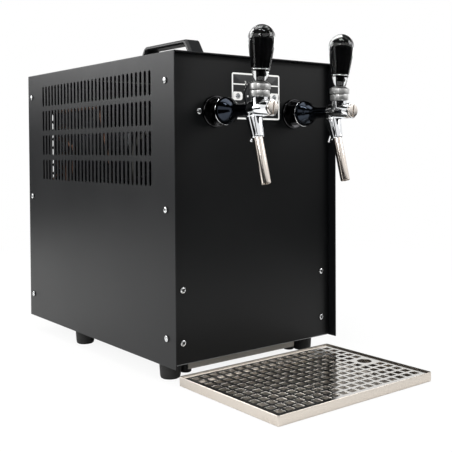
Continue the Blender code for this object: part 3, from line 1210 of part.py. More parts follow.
def build_refrigerant_lines(finishes):
    """Filter drier with its liquid and capillary pipes, the discharge pipe and the suction pipe."""
    copper = finishes["copper"]
    drier_z = PAN_TOP + DRIER_RISE
    drier_front = FRONT_Y + DRIER_DEPTH_PLACE
    end = DRIER_RADIUS * 1.5
    profile = [(0, DRIER_LENGTH), (PIPE_RADIUS, DRIER_LENGTH), (DRIER_RADIUS, DRIER_LENGTH - end),
               (DRIER_RADIUS, end), (PIPE_RADIUS, 0), (0, 0)]
    drier = add_mesh("filter_drier", turned_mesh(profile, SMALL_STEPS), copper,
                     (-DRIER_SIDE_PLACE, drier_front, drier_z), BACKWARD)

    plate_x = -CONDENSER_HALF_WIDTH - SHEET - SEAT
    bend_x = plate_x - 4 * PIPE_RADIUS
    middle = CONDENSER_Y + CONDENSER_THICKNESS / 2
    bottom_row = bend_height(0) - BEND_ROW_PITCH / 2
    back_y = middle + CONDENSER_THICKNESS / 3
    liquid = smooth_route([
        (plate_x, back_y, bottom_row), (bend_x, back_y, bottom_row),
        (-DRIER_SIDE_PLACE, back_y, bottom_row - BEND_ROW_PITCH),
        (-DRIER_SIDE_PLACE, back_y, drier_z + DRIER_LENGTH * 0.7),
        (-DRIER_SIDE_PLACE, back_y - 12 * PIPE_RADIUS, drier_z),
        (-DRIER_SIDE_PLACE, drier_front + DRIER_LENGTH - end / 4, drier_z)], ROUTE_STEPS)
    join(drier, tube_mesh(liquid, PIPE_RADIUS * 0.9))

    core_top = CORE_BASE_Z + CORE_HEIGHT + SEAT
    core_x = -CORE_RADIUS / 3
    over = core_top + 9 * PIPE_RADIUS
    capillary = smooth_route([
        (-DRIER_SIDE_PLACE, drier_front + end / 4, drier_z),
        (-DRIER_SIDE_PLACE, drier_front - 6 * PIPE_RADIUS, drier_z),
        (-DRIER_SIDE_PLACE + 4 * PIPE_RADIUS, CORE_Y, core_top - 4 * PIPE_RADIUS),
        (-JACKET_RADIUS, CORE_Y, over + PIPE_RADIUS),
        (core_x - 5 * PIPE_RADIUS, CORE_Y, over), (core_x, CORE_Y, core_top + 4 * PIPE_RADIUS),
        (core_x, CORE_Y, core_top)], ROUTE_STEPS)
    join(drier, tube_mesh(capillary, PIPE_RADIUS / 2))

    port_z = COMPRESSOR_PLATE_Z + COMPRESSOR_PLATE + COMPRESSOR_HEIGHT * 0.6
    port_x = COMPRESSOR_SIDE_PLACE - COMPRESSOR_RADIUS - SEAT
    run_x = -WALL_INSIDE + 7 * PIPE_RADIUS
    top_row = bend_height(BEND_ROWS - 1)
    front_y = FRONT_Y + DISCHARGE_FRONT
    discharge = smooth_route([
        (port_x, COMPRESSOR_Y, port_z), (port_x - 8 * PIPE_RADIUS, COMPRESSOR_Y, port_z),
        (run_x + 10 * PIPE_RADIUS, front_y + 6 * PIPE_RADIUS, (port_z + top_row) / 2),
        (run_x, front_y, top_row - 10 * PIPE_RADIUS),
        (run_x, front_y + 3 * PIPE_RADIUS, top_row - PIPE_RADIUS),
        (run_x, front_y + 10 * PIPE_RADIUS, top_row), (run_x, middle - 10 * PIPE_RADIUS, top_row),
        (run_x + PIPE_RADIUS, middle - 2 * PIPE_RADIUS, top_row),
        (plate_x - 2 * PIPE_RADIUS, middle, top_row), (plate_x, middle, top_row)], ROUTE_STEPS)
    add_mesh("discharge_pipe", tube_mesh(discharge, PIPE_RADIUS), copper)

    suction_z = COMPRESSOR_PLATE_Z + COMPRESSOR_PLATE + COMPRESSOR_HEIGHT * 0.35
    loop_y = COMPRESSOR_Y + LOOP_OFFSET
    loop_top = top_row - LOOP_DROP
    core_out = CORE_RADIUS / 3
    suction = smooth_route([
        (port_x, COMPRESSOR_Y, suction_z), (port_x - 8 * PIPE_RADIUS, COMPRESSOR_Y, suction_z),
        (run_x, loop_y + 4 * PIPE_RADIUS, suction_z + 8 * PIPE_RADIUS),
        (run_x, loop_y + 4 * PIPE_RADIUS, loop_top - 4 * PIPE_RADIUS),
        (run_x, loop_y, loop_top),
        (run_x, loop_y - 4 * PIPE_RADIUS, loop_top - 4 * PIPE_RADIUS),
        (run_x, loop_y - 5 * PIPE_RADIUS, over + 8 * PIPE_RADIUS),
        (-JACKET_RADIUS, CORE_Y + 8 * PIPE_RADIUS, over + 8 * PIPE_RADIUS),
        (core_out - 6 * PIPE_RADIUS, CORE_Y, over + 4 * PIPE_RADIUS),
        (core_out, CORE_Y, core_top + 5 * PIPE_RADIUS), (core_out, CORE_Y, core_top)], ROUTE_STEPS)
    add_mesh("suction_pipe", tube_mesh(suction, PIPE_RADIUS), copper)


def build_rear_fittings(finishes):
    """Twin push-in beer inlet and the mains inlet with its rocker switch, in the rear panel."""
    inner_end = REAR_Y - SHEET - FITTING_INNER_REACH
    end = REAR_Y + FITTING_REACH
    across, (low, high) = FITTING_SIDE_PLACE, fitting_heights()
    plate_y = REAR_Y + SEAT
    plate = box_mesh((across - FITTING_FLANGE, plate_y, low - FITTING_FLANGE),
                     (across + FITTING_FLANGE, plate_y + FITTING_FLANGE_THICKNESS,
                      high + FITTING_FLANGE))
    fittings = add_mesh("beer_inlets", plate, finishes["black_plastic"])
    barrels = [(across, (inner_end + end) / 2, height) for height in (low, high)]
    join(fittings, rods_mesh(barrels, FITTING_RADIUS, end - inner_end, (0, 1, 0), SMALL_STEPS))
    bore_floor = inner_end + FITTING_INNER_REACH / 3
    bores = [(across, (bore_floor + end + CUT_OVERRUN) / 2, height) for height in (low, high)]
    cut(fittings, rods_mesh(bores, FITTING_BORE, end + CUT_OVERRUN - bore_floor, (0, 1, 0),
                            SMALL_STEPS))

    across, height = -INLET_SIDE_PLACE, inlet_height()
    half_width, half_height = INLET_WIDTH / 2, INLET_HEIGHT / 2
    flange_front = REAR_Y + SEAT + INLET_FLANGE_THICKNESS
    housing = box_mesh((across - half_width, REAR_Y - INLET_DEPTH, height - half_height),
                       (across + half_width, flange_front - SEAT, height + half_height))
    inlet = add_mesh("mains_inlet", housing, finishes["black_plastic"])
    half_width, half_height = half_width + INLET_FLANGE, half_height + INLET_FLANGE
    join(inlet, box_mesh((across - half_width, REAR_Y + SEAT, height - half_height),
                         (across + half_width, flange_front, height + half_height)))
    socket_z = height - INLET_HEIGHT / 4
    cut(inlet, box_mesh((across - INLET_SOCKET_WIDTH / 2, flange_front - INLET_SOCKET_DEPTH,
                         socket_z - INLET_SOCKET_HEIGHT / 2),
                        (across + INLET_SOCKET_WIDTH / 2, flange_front + CUT_OVERRUN,
                         socket_z + INLET_SOCKET_HEIGHT / 2)))
    pivot = Vector((across, flange_front, height + ROCKER_OFFSET))
    gap_width = ROCKER_WIDTH / 2 + ROCKER_CLEARANCE
    gap_height = ROCKER_HEIGHT / 2 + ROCKER_CLEARANCE
    cut(inlet, box_mesh((-gap_width, -ROCKER_DEPTH - ROCKER_PROUD, -gap_height),
                        (gap_width, CUT_OVERRUN, gap_height)), pivot)
    half = ROCKER_HEIGHT / 2
    outline = [(half, ROCKER_PROUD * 0.5), (0, ROCKER_PROUD), (-half, ROCKER_PROUD * 0.5),
               (-half * 0.7, -ROCKER_DEPTH / 2), (0, -ROCKER_DEPTH), (half * 0.7, -ROCKER_DEPTH / 2)]
    turn = Matrix(((0, 0, 1, 0), (0, 1, 0, 0), (-1, 0, 0, 0), (0, 0, 0, 1)))
    tip = Matrix.Rotation(ROCKER_TILT, 4, "X")
    mesh = moved_mesh(outline_mesh(outline, ROCKER_WIDTH), tip @ turn)
    add_mesh("rocker_switch", mesh, finishes["gloss_black"], pivot)


def build():
    """Make the whole dispenser."""
    start_scene()
    finishes = make_materials()
    build_base_pan(finishes)
    build_feet(finishes)
    build_cross_rail(finishes)
    build_front_panel(finishes)
    build_rear_panel(finishes)
    build_cover(finishes)
    build_carry_handle(finishes)
    build_label_and_thermostat(finishes)
    for side_name, side in SIDES:
        build_tap(side_name, side, finishes)
        build_lever(side_name, side, finishes)
    build_tray(finishes)
    build_cold_block(finishes)
    build_product_lines(finishes)
    build_compressor(finishes)
    build_condenser(finishes)
    build_fan(finishes)
    build_refrigerant_lines(finishes)
    build_rear_fittings(finishes)


build()
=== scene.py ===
"""Looks of the two-tap draft beer dispenser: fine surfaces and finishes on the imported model.

Metres, +Z up, +Y to the back. Profiles are written in millimetres and scaled by MM.
"""

import bmesh
import bpy
import numpy as np
from mathutils import Matrix, Vector


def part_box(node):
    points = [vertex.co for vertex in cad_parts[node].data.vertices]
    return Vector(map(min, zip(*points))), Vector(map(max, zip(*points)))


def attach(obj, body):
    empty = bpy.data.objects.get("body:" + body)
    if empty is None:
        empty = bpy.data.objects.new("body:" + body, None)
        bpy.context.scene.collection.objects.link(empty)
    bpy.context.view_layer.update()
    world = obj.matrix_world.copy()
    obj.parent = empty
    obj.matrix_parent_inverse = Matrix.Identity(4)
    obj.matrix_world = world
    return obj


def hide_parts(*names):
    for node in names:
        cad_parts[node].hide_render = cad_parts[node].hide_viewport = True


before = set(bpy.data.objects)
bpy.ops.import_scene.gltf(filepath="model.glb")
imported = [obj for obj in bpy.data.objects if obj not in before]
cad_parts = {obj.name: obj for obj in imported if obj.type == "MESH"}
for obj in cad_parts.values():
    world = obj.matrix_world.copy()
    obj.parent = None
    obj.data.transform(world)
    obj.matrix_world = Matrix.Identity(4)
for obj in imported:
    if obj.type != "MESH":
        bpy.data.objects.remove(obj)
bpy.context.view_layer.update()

MM = 0.001
WELD = 2e-6
SHEET = 1.5 * MM
COVER_LOW, COVER_HIGH = np.array(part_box("cover"))
COVER_MIDDLE = (COVER_LOW + COVER_HIGH) / 2
FRONT_Y, BACK_Y = COVER_LOW[1], COVER_HIGH[1]
BOTTOM_Z, TOP_Z = COVER_LOW[2], COVER_HIGH[2]
PANEL_Y = FRONT_Y + 13.5 * MM
REAR_Y = BACK_Y - 6 * MM
TAP_X, TAP_Z = 75.5 * MM, 384.6 * MM
LABEL_Z = TAP_Z + 24 * MM
SIDES = (("left", -1), ("right", 1))

# Turns that point a profile's height somewhere: up, to the front, to the back, to the left, to the right
UPWARD = np.eye(3)
TO_FRONT = np.array(((1, 0, 0), (0, 0, -1), (0, 1, 0)), float)
TO_BACK = np.array(((1, 0, 0), (0, 0, 1), (0, -1, 0)), float)
TO_LEFT = np.array(((0, 0, -1), (0, 1, 0), (1, 0, 0)), float)
TO_RIGHT = np.array(((0, 0, 1), (0, 1, 0), (-1, 0, 0)), float)


def added(name, data):
    """Object of some data, put in the scene."""
    made = bpy.data.objects.new(name, data)
    bpy.context.scene.collection.objects.link(made)
    return made


def spun(axis, angle):
    """Turn by an angle round one axis."""
    i, j = (axis + 1) % 3, (axis + 2) % 3
    turn = np.eye(3)
    turn[i, i] = turn[j, j] = np.cos(angle)
    turn[j, i] = np.sin(angle)
    turn[i, j] = -turn[j, i]
    return turn


# Camera: eye 330 mm above the table in front of the left side, level to 2 degrees, 32 degree lens

PICTURE_WIDTH = 452
FOCAL_LENGTH = 778.41
PICTURE_MIDDLE = (242.85, 169.36)
EYE = (-0.74564, -1.04256, 0.32967)


def place_camera():
    """Camera of the photograph: axes from yaw, pitch and roll, its shift from the picture's centre."""
    yaw, pitch, roll = 0.67378, -0.02547, -0.00538
    ahead = Vector((np.sin(yaw) * np.cos(pitch), np.cos(yaw) * np.cos(pitch), np.sin(pitch)))
    level = Vector((np.cos(yaw), -np.sin(yaw), 0))
    above = level.cross(ahead)
    right = level * np.cos(roll) + above * np.sin(roll)
    up = above * np.cos(roll) - level * np.sin(roll)
    data = bpy.data.cameras.new("view")
    data.sensor_width = 36
    data.lens = data.sensor_width * FOCAL_LENGTH / PICTURE_WIDTH
    data.shift_x = 0.5 - PICTURE_MIDDLE[0] / PICTURE_WIDTH
    data.shift_y = PICTURE_MIDDLE[1] / PICTURE_WIDTH - 0.5
    data.clip_start, data.clip_end = 0.05, 60
    camera = added("view", data)
    turn = Matrix((right, up, -ahead)).transposed().to_4x4()
    camera.matrix_world = Matrix.Translation(EYE) @ turn
    bpy.context.scene.camera = camera


place_camera()


# Surfaces as arrays

def grid_faces(rows, columns, wrap_rows=False, wrap_columns=False):
    """Quads of a grid of points: each joins a point to the next in its row and the two beyond."""
    row, column = np.meshgrid(np.arange(rows if wrap_rows else rows - 1),
                              np.arange(columns if wrap_columns else columns - 1), indexing="ij")
    next_row, next_column = (row + 1) % rows, (column + 1) % columns
    corners = [row * columns + column, next_row * columns + column,
               next_row * columns + next_column, row * columns + next_column]
    return np.stack(corners, -1).reshape(-1, 4)


def lofted(loops, joined=False):
    """Skin through a stack of closed outlines, point to point. Its ends run in to the middle of
    their outlines, or with joined the last outline runs on to the first."""
    loops = np.asarray(loops, float)
    if not joined:
        ends = np.broadcast_to(loops[[0, -1]].mean(1, keepdims=True), (2, *loops.shape[1:]))
        loops = np.concatenate([ends[:1], loops, ends[1:]])
    return loops.reshape(-1, 3), grid_faces(loops.shape[0], loops.shape[1], joined, True)


def eased(points, radius, steps=3):
    """Round the corners of an outline: near each corner P it follows
    (1-t)(1-t) A + 2t(1-t) P + tt B, where A and B lie one radius before and after P."""
    points = np.asarray(points, float)
    before, after = np.roll(points, 1, 0) - points, np.roll(points, -1, 0) - points
    far_before = np.linalg.norm(before, axis=1, keepdims=True)
    far_after = np.linalg.norm(after, axis=1, keepdims=True)
    reach = np.minimum(np.reshape(radius, (-1, 1)), 0.45 * np.minimum(far_before, far_after))
    reach[[0, -1]] = 0
    start = points + before / np.maximum(far_before, 1e-12) * reach
    end = points + after / np.maximum(far_after, 1e-12) * reach
    t = np.linspace(0, 1, steps + 1)[None, :, None]
    curve = start[:, None] * (1 - t) ** 2 + points[:, None] * 2 * t * (1 - t) + end[:, None] * t ** 2
    return curve.reshape(-1, points.shape[1])[steps:-steps]


def smoothed(points, steps=6):
    """Curve through the points: between two of them the cubic whose slope at each point is half
    the way from the point before to the point after."""
    points = np.asarray(points, float)
    padded = np.concatenate([2 * points[:1] - points[1:2], points, 2 * points[-1:] - points[-2:-1]])
    a, b, c, d = (padded[at:len(padded) - 3 + at, None] for at in range(4))
    t = (np.arange(steps) / steps)[None, :, None]
    curve = (2 * b + (c - a) * t + (2 * a - 5 * b + 4 * c - d) * t ** 2
             + (3 * b - a - 3 * c + d) * t ** 3) / 2
    return np.concatenate([curve.reshape(-1, points.shape[1]), points[-1:]])


def circle(steps):
    """Unit circle as (cos, sin) of equal turns."""
    turn = np.arange(steps) * 2 * np.pi / steps
    return np.stack([np.cos(turn), np.sin(turn)], -1)


def hexagon_radius(steps, round_off=0.0):
    """Radius of a hexagon of flats 2 at equal turns: 1 / cos of the turn from the nearest flat's
    middle, its corners cut back by round_off."""
    turn = np.arange(steps) * 2 * np.pi / steps
    from_flat = np.abs(turn % (np.pi / 3) - np.pi / 6)
    return np.minimum(1 / np.cos(from_flat), 2 / np.sqrt(3) * (1 - round_off))


def placed(points, turn, centre):
    """Points turned and moved to their place: turn times point, plus centre."""
    return points @ turn.T + np.asarray(centre, float)


def turned(profile, steps, turn, centre, shape=1):
    """Profile of (radius, height) in millimetres carried round its axis: each point goes to
    (radius cos t, radius sin t, height). A profile that stays off the axis is closed in itself.
    A shape of radius shares by row and turn may vary it."""
    profile = np.asarray(profile, float) * MM
    radius = profile[:, 0, None] * (np.ones(steps) * shape)
    height = np.broadcast_to(profile[:, 1, None], radius.shape)
    around = circle(steps)
    loops = np.stack([radius * around[:, 0], radius * around[:, 1], height], -1)
    points, faces = lofted(loops, profile[0, 0] > 0 and profile[-1, 0] > 0)
    return placed(points, turn, centre), faces


def tube(path, radius, steps=16):
    """Circle carried along a path: at each station it lies square to the path, turned on from
    the station before by the least turn."""
    path = np.asarray(path, float)
    along = np.gradient(path, axis=0)
    along /= np.linalg.norm(along, axis=1, keepdims=True)
    side = np.cross(along[0], (0, 0, 1) if abs(along[0, 2]) < 0.9 else (0, 1, 0))
    sides = []
    for ahead in along:
        side = side - ahead * (side @ ahead)
        side = side / np.linalg.norm(side)
        sides.append(side)
    sides = np.array(sides)
    ups = np.cross(sides, along)
    outline = circle(steps) * radius
    loops = (path[:, None] + sides[:, None] * outline[None, :, :1] + ups[:, None] * outline[None, :, 1:])
    return lofted(loops)


def four_corners(quarter):
    """Quarter of an outline mirrored round to all four corners, anticlockwise."""
    return np.concatenate([quarter, quarter[::-1] * (-1, 1), -quarter, quarter[::-1] * (1, -1)])


def round_rectangle(half_u, half_v, corner, steps=6):
    """Rectangle with round corners, anticlockwise: corner centres plus quarter circles."""
    turn = np.linspace(0, np.pi / 2, steps + 1)
    return four_corners(np.stack([half_u - corner + corner * np.cos(turn),
                                  half_v - corner + corner * np.sin(turn)], -1))


def block(low, high, ease, corner=None, axis=2, steps=4):
    """Block between two corners with eased edges: round rectangles stacked along an axis, the
    ones near each end drawn in along a quarter circle of radius ease."""
    low, high = np.asarray(low, float), np.asarray(high, float)
    order = [(axis + 1) % 3, (axis + 2) % 3, axis]
    half, middle = (high - low)[order] / 2, (high + low)[order] / 2
    corner = ease if corner is None else corner
    turn = np.linspace(0, np.pi / 2, 4)
    inset = np.concatenate([ease * (1 - np.sin(turn)), ease * (1 - np.sin(turn[::-1]))])
    level = np.concatenate([-half[2] + ease * (1 - np.cos(turn)), half[2] - ease * (1 - np.cos(turn[::-1]))])
    loops = []
    for draw, height in zip(inset, level):
        outline = round_rectangle(half[0] - draw, half[1] - draw, max(corner - draw, ease / 9), steps)
        loops.append(np.column_stack([outline, np.full(len(outline), height)]))
    points, faces = lofted(loops)
    final = np.empty_like(points)
    final[:, order] = points + middle
    return final, faces


# Flat blanks, which are pierced and then folded along a section

def strip(us, vs):
    """Flat grid on the lines us and vs."""
    u, v = np.meshgrid(us, vs, indexing="ij")
    return np.stack([u, v], -1).reshape(-1, 2), grid_faces(len(us), len(vs))


def ring(inner, outer):
    """Flat ring between two outlines with equally many points, both anticlockwise."""
    return np.concatenate([inner, outer]), grid_faces(2, len(inner), False, True)


def copied(points, faces, places):
    """Copies of one surface, moved to each of the places."""
    numbers = faces[None] + (np.arange(len(places)) * len(points))[:, None, None]
    return (places[:, None] + points[None]).reshape(-1, points.shape[1]), numbers.reshape(-1, faces.shape[1])


def cell_lines(centres, half_pitch, straight):
    """Places along a row of cells where their points sit, each once: the ends of every cell, the
    ends of its hole's straight part and the middles between."""
    middle = (half_pitch + straight) / 2
    marks = np.array([-half_pitch, -middle, -straight, straight, middle, half_pitch])
    return np.unique(np.round((np.asarray(centres)[:, None] + marks).ravel(), 7))


def pierced(centres, half_pitch, half_hole, corner):
    """Field of equal cells: each is the ring between a hole with round corners and the cell's
    rectangle, whose points lie where the neighbour's do."""
    (cell_u, cell_v), (flat_u, flat_v) = half_pitch, np.subtract(half_hole, corner)
    turn = np.linspace(0, np.pi / 2, 5)
    inner = np.stack([flat_u + corner * np.cos(turn), flat_v + corner * np.sin(turn)], -1)
    outer = np.array([(cell_u, flat_v), (cell_u, (flat_v + cell_v) / 2), (cell_u, cell_v),
                      ((flat_u + cell_u) / 2, cell_v), (flat_u, cell_v)])
    return copied(*ring(four_corners(inner), four_corners(outer)), centres)


def folded(parts, section, order):
    """Fold flat parts along a section: u is the way along the section, v is square to it.
    order gives the axes of the section's two values and of v."""
    section, way, final = np.asarray(section, float), way_along(section), []
    for flat, faces in parts:
        points = np.empty((len(flat), 3))
        points[:, order[0]] = np.interp(flat[:, 0], way, section[:, 0])
        points[:, order[1]] = np.interp(flat[:, 0], way, section[:, 1])
        points[:, order[2]] = flat[:, 1]
        final.append((points, faces))
    return final


def way_along(section):
    """Distance walked along a section at each of its points."""
    return np.concatenate([[0], np.cumsum(np.linalg.norm(np.diff(section, axis=0), axis=1))])


def perforated(section, centres_u, centres_v, half_pitch, half_hole, corner, ends, clear=None):
    """Sheet with a field of holes, still flat: the plain strips before the field, behind it and
    at its ends, and its cells, without those nearer to the point clear than one of them."""
    way = way_along(section)
    us, vs = (cell_lines(*row) for row in zip((centres_u, centres_v), half_pitch,
                                              np.subtract(half_hole, corner)))
    across = [ends[0], *vs, ends[1]]
    cells = np.stack(np.meshgrid(centres_u, centres_v, indexing="ij"), -1).reshape(-1, 2)
    if clear is not None:
        cells = cells[np.abs(cells - clear).max(1) > 1.5 * half_pitch[0]]
    return [strip([*way[way < us[0] - MM], us[0]], across), strip([us[-1], *way[way > us[-1] + MM]], across),
            strip(us, [ends[0], vs[0]]), strip(us, [vs[-1], ends[1]]),
            pierced(cells, half_pitch, half_hole, corner)]


# Finished pieces

def mesh_of(name, points, faces, outward=True):
    """Mesh of points and faces, its doubles merged and its faces turned outward."""
    mesh = bpy.data.meshes.new(name)
    mesh.from_pydata(np.asarray(points).tolist(), [], np.asarray(faces).tolist())
    shape = bmesh.new()
    shape.from_mesh(mesh)
    bmesh.ops.remove_doubles(shape, verts=shape.verts, dist=WELD)
    bmesh.ops.dissolve_degenerate(shape, edges=shape.edges, dist=WELD / 4)
    if outward:
        bmesh.ops.recalc_face_normals(shape, faces=shape.faces)
    shape.to_mesh(mesh)
    shape.free()
    return mesh


def make_piece(name, parts, finish, replaced=(), body="cabinet", sharp=35, wall=None):
    """Put surfaces in one mesh as a piece. An open sheet keeps its own side and gets its wall
    behind it."""
    starts = np.cumsum([0] + [len(points) for points, faces in parts])
    points = np.concatenate([points for points, faces in parts])
    faces = np.concatenate([faces + start for (_, faces), start in zip(parts, starts)])
    mesh = mesh_of(name, points, faces, wall is None)
    mesh.shade_smooth()
    mesh.set_sharp_from_angle(angle=np.radians(sharp))
    mesh.materials.append(finish)
    piece = added(name, mesh)
    if wall is not None:
        solid = piece.modifiers.new("Wall", "SOLIDIFY")
        solid.thickness, solid.offset, solid.use_even_offset = wall, -1, True
    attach(piece, body)
    if replaced:
        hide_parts(*replaced)
    return piece


def fused(parts, operation="UNION"):
    """Join closed surfaces to the first one, or cut them out of it, and give the surface left."""
    objects = [added("part", mesh_of("part", *part)) for part in parts]
    meshes = [made.data for made in objects]
    for tool in objects[1:]:
        step = objects[0].modifiers.new("Step", "BOOLEAN")
        step.operation, step.solver, step.object = operation, "EXACT", tool
    view = bpy.context.evaluated_depsgraph_get()
    meshes.append(bpy.data.meshes.new_from_object(objects[0].evaluated_get(view)))
    shape = bmesh.new()
    shape.from_mesh(meshes[-1])
    bmesh.ops.triangulate(shape, faces=shape.faces)
    shape.verts.ensure_lookup_table()
    points = np.array([vertex.co[:] for vertex in shape.verts])
    faces = np.array([[vertex.index for vertex in face.verts] for face in shape.faces])
    shape.free()
    for made in objects:
        bpy.data.objects.remove(made)
    for old in meshes:
        bpy.data.meshes.remove(old)
    return points, faces


# Finishes

def linear(colour):
    """Linear values of an sRGB hex colour: c / 12.92 when dark, else ((c + 0.055) / 1.055) ** 2.4."""
    channels = np.array([int(colour[at:at + 2], 16) for at in (0, 2, 4)]) / 255
    values = np.where(channels <= 0.04045, channels / 12.92, ((channels + 0.055) / 1.055) ** 2.4)
    return (*values.tolist(), 1.0)


def add_node(tree, kind, settings=None, links=None, output=0):
    """Add a node, set its properties and sockets, link outputs to its sockets and give the
    output that is used next."""
    node = tree.nodes.new("ShaderNode" + kind)
    for name, value in (settings or {}).items():
        if isinstance(name, int) or name in node.inputs:
            node.inputs[name].default_value = value
        else:
            setattr(node, name, value)
    for name, source in (links or {}).items():
        tree.links.new(source, node.inputs[name])
    return node.outputs[output] if node.outputs else None


def finish_of(name, colours, rough, tone, grain, relief, stretch=(1, 1, 1), cells=False, **shader):
    """Material made of three patterns on Object coordinates, sizes in millimetres. A soft one of
    size tone drifts between the two colours. A fine one of size grain moves the roughness between
    its two values and lifts the surface by relief. Cells takes flat-toned grains for the tone."""
    made = bpy.data.materials.new(name)
    made.use_nodes = True
    tree = made.node_tree
    surface = tree.nodes["Principled BSDF"]
    for socket, value in shader.items():
        surface.inputs[socket.replace("_", " ")].default_value = value
    place = add_node(tree, "TexCoord", output="Object")
    drawn = {"Vector": add_node(tree, "Mapping", {"Scale": stretch}, {"Vector": place})}
    if cells:
        soft = add_node(tree, "TexVoronoi", {"Scale": 1000 / tone}, drawn, "Color")
    else:
        soft = add_node(tree, "TexNoise", {"Scale": 1000 / tone, "Detail": 3}, drawn, "Fac")
    fine = add_node(tree, "TexNoise", {"Scale": 1000 / grain, "Detail": 2}, drawn, "Fac")
    first, second = (linear(colour) for colour in colours)
    mixed = add_node(tree, "Mix", {"data_type": "RGBA", 6: first, 7: second}, {0: soft}, 2)
    tree.links.new(mixed, surface.inputs["Base Color"])
    both = add_node(tree, "Math", {"operation": "ADD"}, {0: soft, 1: fine})
    limits = {"From Min": 0.6, "From Max": 1.4, "To Min": rough[0], "To Max": rough[1]}
    spread = add_node(tree, "MapRange", limits, {"Value": both})
    tree.links.new(spread, surface.inputs["Roughness"])
    if relief:
        bump = add_node(tree, "Bump", {"Strength": 1.0, "Distance": relief * MM}, {"Height": fine})
        tree.links.new(bump, surface.inputs["Normal"])
    return made


def metal(*values, **shader):
    """Such a material of bare metal."""
    return finish_of(*values, Metallic=1.0, **shader)


# Polyester powder coat baked on sheet steel: a fine-textured, half-matt black skin
powder_coat = finish_of("powder_coated_steel", ("0D0E10", "121315"), (0.33, 0.41), 120, 0.9, 0.012,
                        Specular_IOR_Level=0.26)
# Same paint on the flat front sheet, a little smoother, its black darker than on the sides: painted shade on
# the front
shaded_panel_coat = finish_of("powder_coated_panel_painted_shade", ("060708", "090A0B"), (0.30, 0.38), 120, 0.9, 0.010,
                       Specular_IOR_Level=0.22)
# Bright nickel and chromium plate on polished brass: a cool mirror with faint handling haze
chrome = metal("chrome_plated_brass", ("E0E2E4", "EDEEF0"), (0.03, 0.09), 14, 0.6, 0.0)
# Dark, slightly brown mirror on the wall flanges and hexagon nuts
dark_brown_mirror = metal("dark_nickel_plate", ("2A2A2B", "363637"), (0.12, 0.18), 14, 0.6, 0.0)
# Dark mirror with a blue cast on the shanks
dark_blue_mirror = metal("black_nickel_plate", ("262B33", "32373F"), (0.10, 0.16), 14, 0.6, 0.0)
# Satin-finished stainless turned on a lathe: soft, slightly warm
satin_steel = metal("satin_turned_stainless", ("DDD5CD", "E6DFD8"), (0.22, 0.30), 25, 0.5, 0.0)
# Drawn stainless tube, polished: a warm mirror with a slight haze
polished_tube = metal("polished_stainless_tube", ("DAD0C7", "E4DCD4"), (0.13, 0.18), 25, 1.5, 0.0)
# Cold-rolled stainless brushed along the tray: warm, with long hairlines and faint water marks
brushed_steel = metal("brushed_stainless", ("C2B8AE", "CEC8C0"), (0.24, 0.34), 45, 0.5, 0.003,
                      stretch=(0.06, 1, 1))
# Electropolished stainless of the grille: nearly a mirror, edges rounded by the polish
polished_steel = metal("electropolished_stainless", ("C6C3BE", "D6D4D0"), (0.10, 0.20), 30, 0.8, 0.004)
# Hot-dip galvanised sheet: spangles a few millimetres across, each with its own grey
galvanised = metal("galvanised_steel", ("85888A", "A9ACAE"), (0.38, 0.55), 7, 0.8, 0.01, cells=True)
# Knurled nickel-plated nuts, greyed by their fine teeth
matt_nickel = metal("matt_nickel_plate", ("C4C4C3", "D2D2D0"), (0.28, 0.36), 9, 0.4, 0.002)
# Stainless beer coil seen in the dark of the cabinet: drawn and dull, its grey darkened as painted shade
shaded_coil_steel = metal("drawn_stainless_tube", ("5E5C59", "706E6A"), (0.34, 0.48), 30, 0.8, 0.004)
# Bare rolled steel of the rail: warm grey, dulled by oil
rolled_steel = finish_of("bare_rolled_steel", ("A29D95", "B6B1A9"), (0.42, 0.56), 22, 0.7, 0.006,
                         Metallic=0.5)
# Zinc-plated screw, bright with a little haze
zinc = metal("zinc_plated_steel", ("C3C5C6", "D9DADB"), (0.18, 0.30), 2, 0.3, 0.002)
# Moulded nitrile rubber: dull black with a dry bloom
rubber = finish_of("moulded_rubber", ("141414", "1D1D1C"), (0.68, 0.82), 9, 0.5, 0.02)
# Injection-moulded ABS with a spark-eroded grain
black_plastic = finish_of("moulded_abs", ("17181A", "1F2022"), (0.36, 0.46), 25, 0.45, 0.015)
# Compression-moulded phenolic: deep black and glassy
gloss_black = finish_of("gloss_phenolic", ("040405", "070708"), (0.06, 0.12), 18, 2.0, 0.003,
                        Specular_IOR_Level=0.4)
# The same black phenolic cast into the clear handle, where its surface hardly mirrors
cast_in_black = finish_of("cast_in_phenolic", ("030304", "050506"), (0.10, 0.16), 18, 2.0, 0.0,
                          Specular_IOR_Level=0.02)
# Cast acrylic turned and flame-polished: clear, with a trace of polishing haze
acrylic = finish_of("clear_acrylic", ("F6F8F8", "FCFDFD"), (0.0, 0.008), 20, 1.5, 0.0,
                    Transmission_Weight=1.0, IOR=1.49)
# Screen-printed polycarbonate overlay: fine matt black
label_film = finish_of("printed_film", ("0E0F10", "151617"), (0.34, 0.42), 20, 0.3, 0.003)
# White screen-printing ink
white_ink = finish_of("white_printing_ink", ("EDEDEA", "F6F6F4"), (0.45, 0.55), 6, 0.25, 0.004)
# Drawn copper tube, browned in patches by handling
copper = metal("drawn_copper", ("6A4C3D", "9A7360"), (0.28, 0.44), 18, 0.8, 0.004)
# Thin aluminium fin stock
aluminium = metal("aluminium_fin_stock", ("B4B8BA", "CBCED0"), (0.26, 0.40), 12, 0.6, 0.004)
# Closed-cell insulation foam: small dark beads
foam = finish_of("insulation_foam", ("232425", "303132"), (0.85, 0.95), 1.5, 0.8, 0.10, cells=True)
# Stoved enamel on the compressor can
compressor_enamel = finish_of("stoved_enamel", ("0D0E0F", "141516"), (0.18, 0.28), 30, 1.6, 0.01)

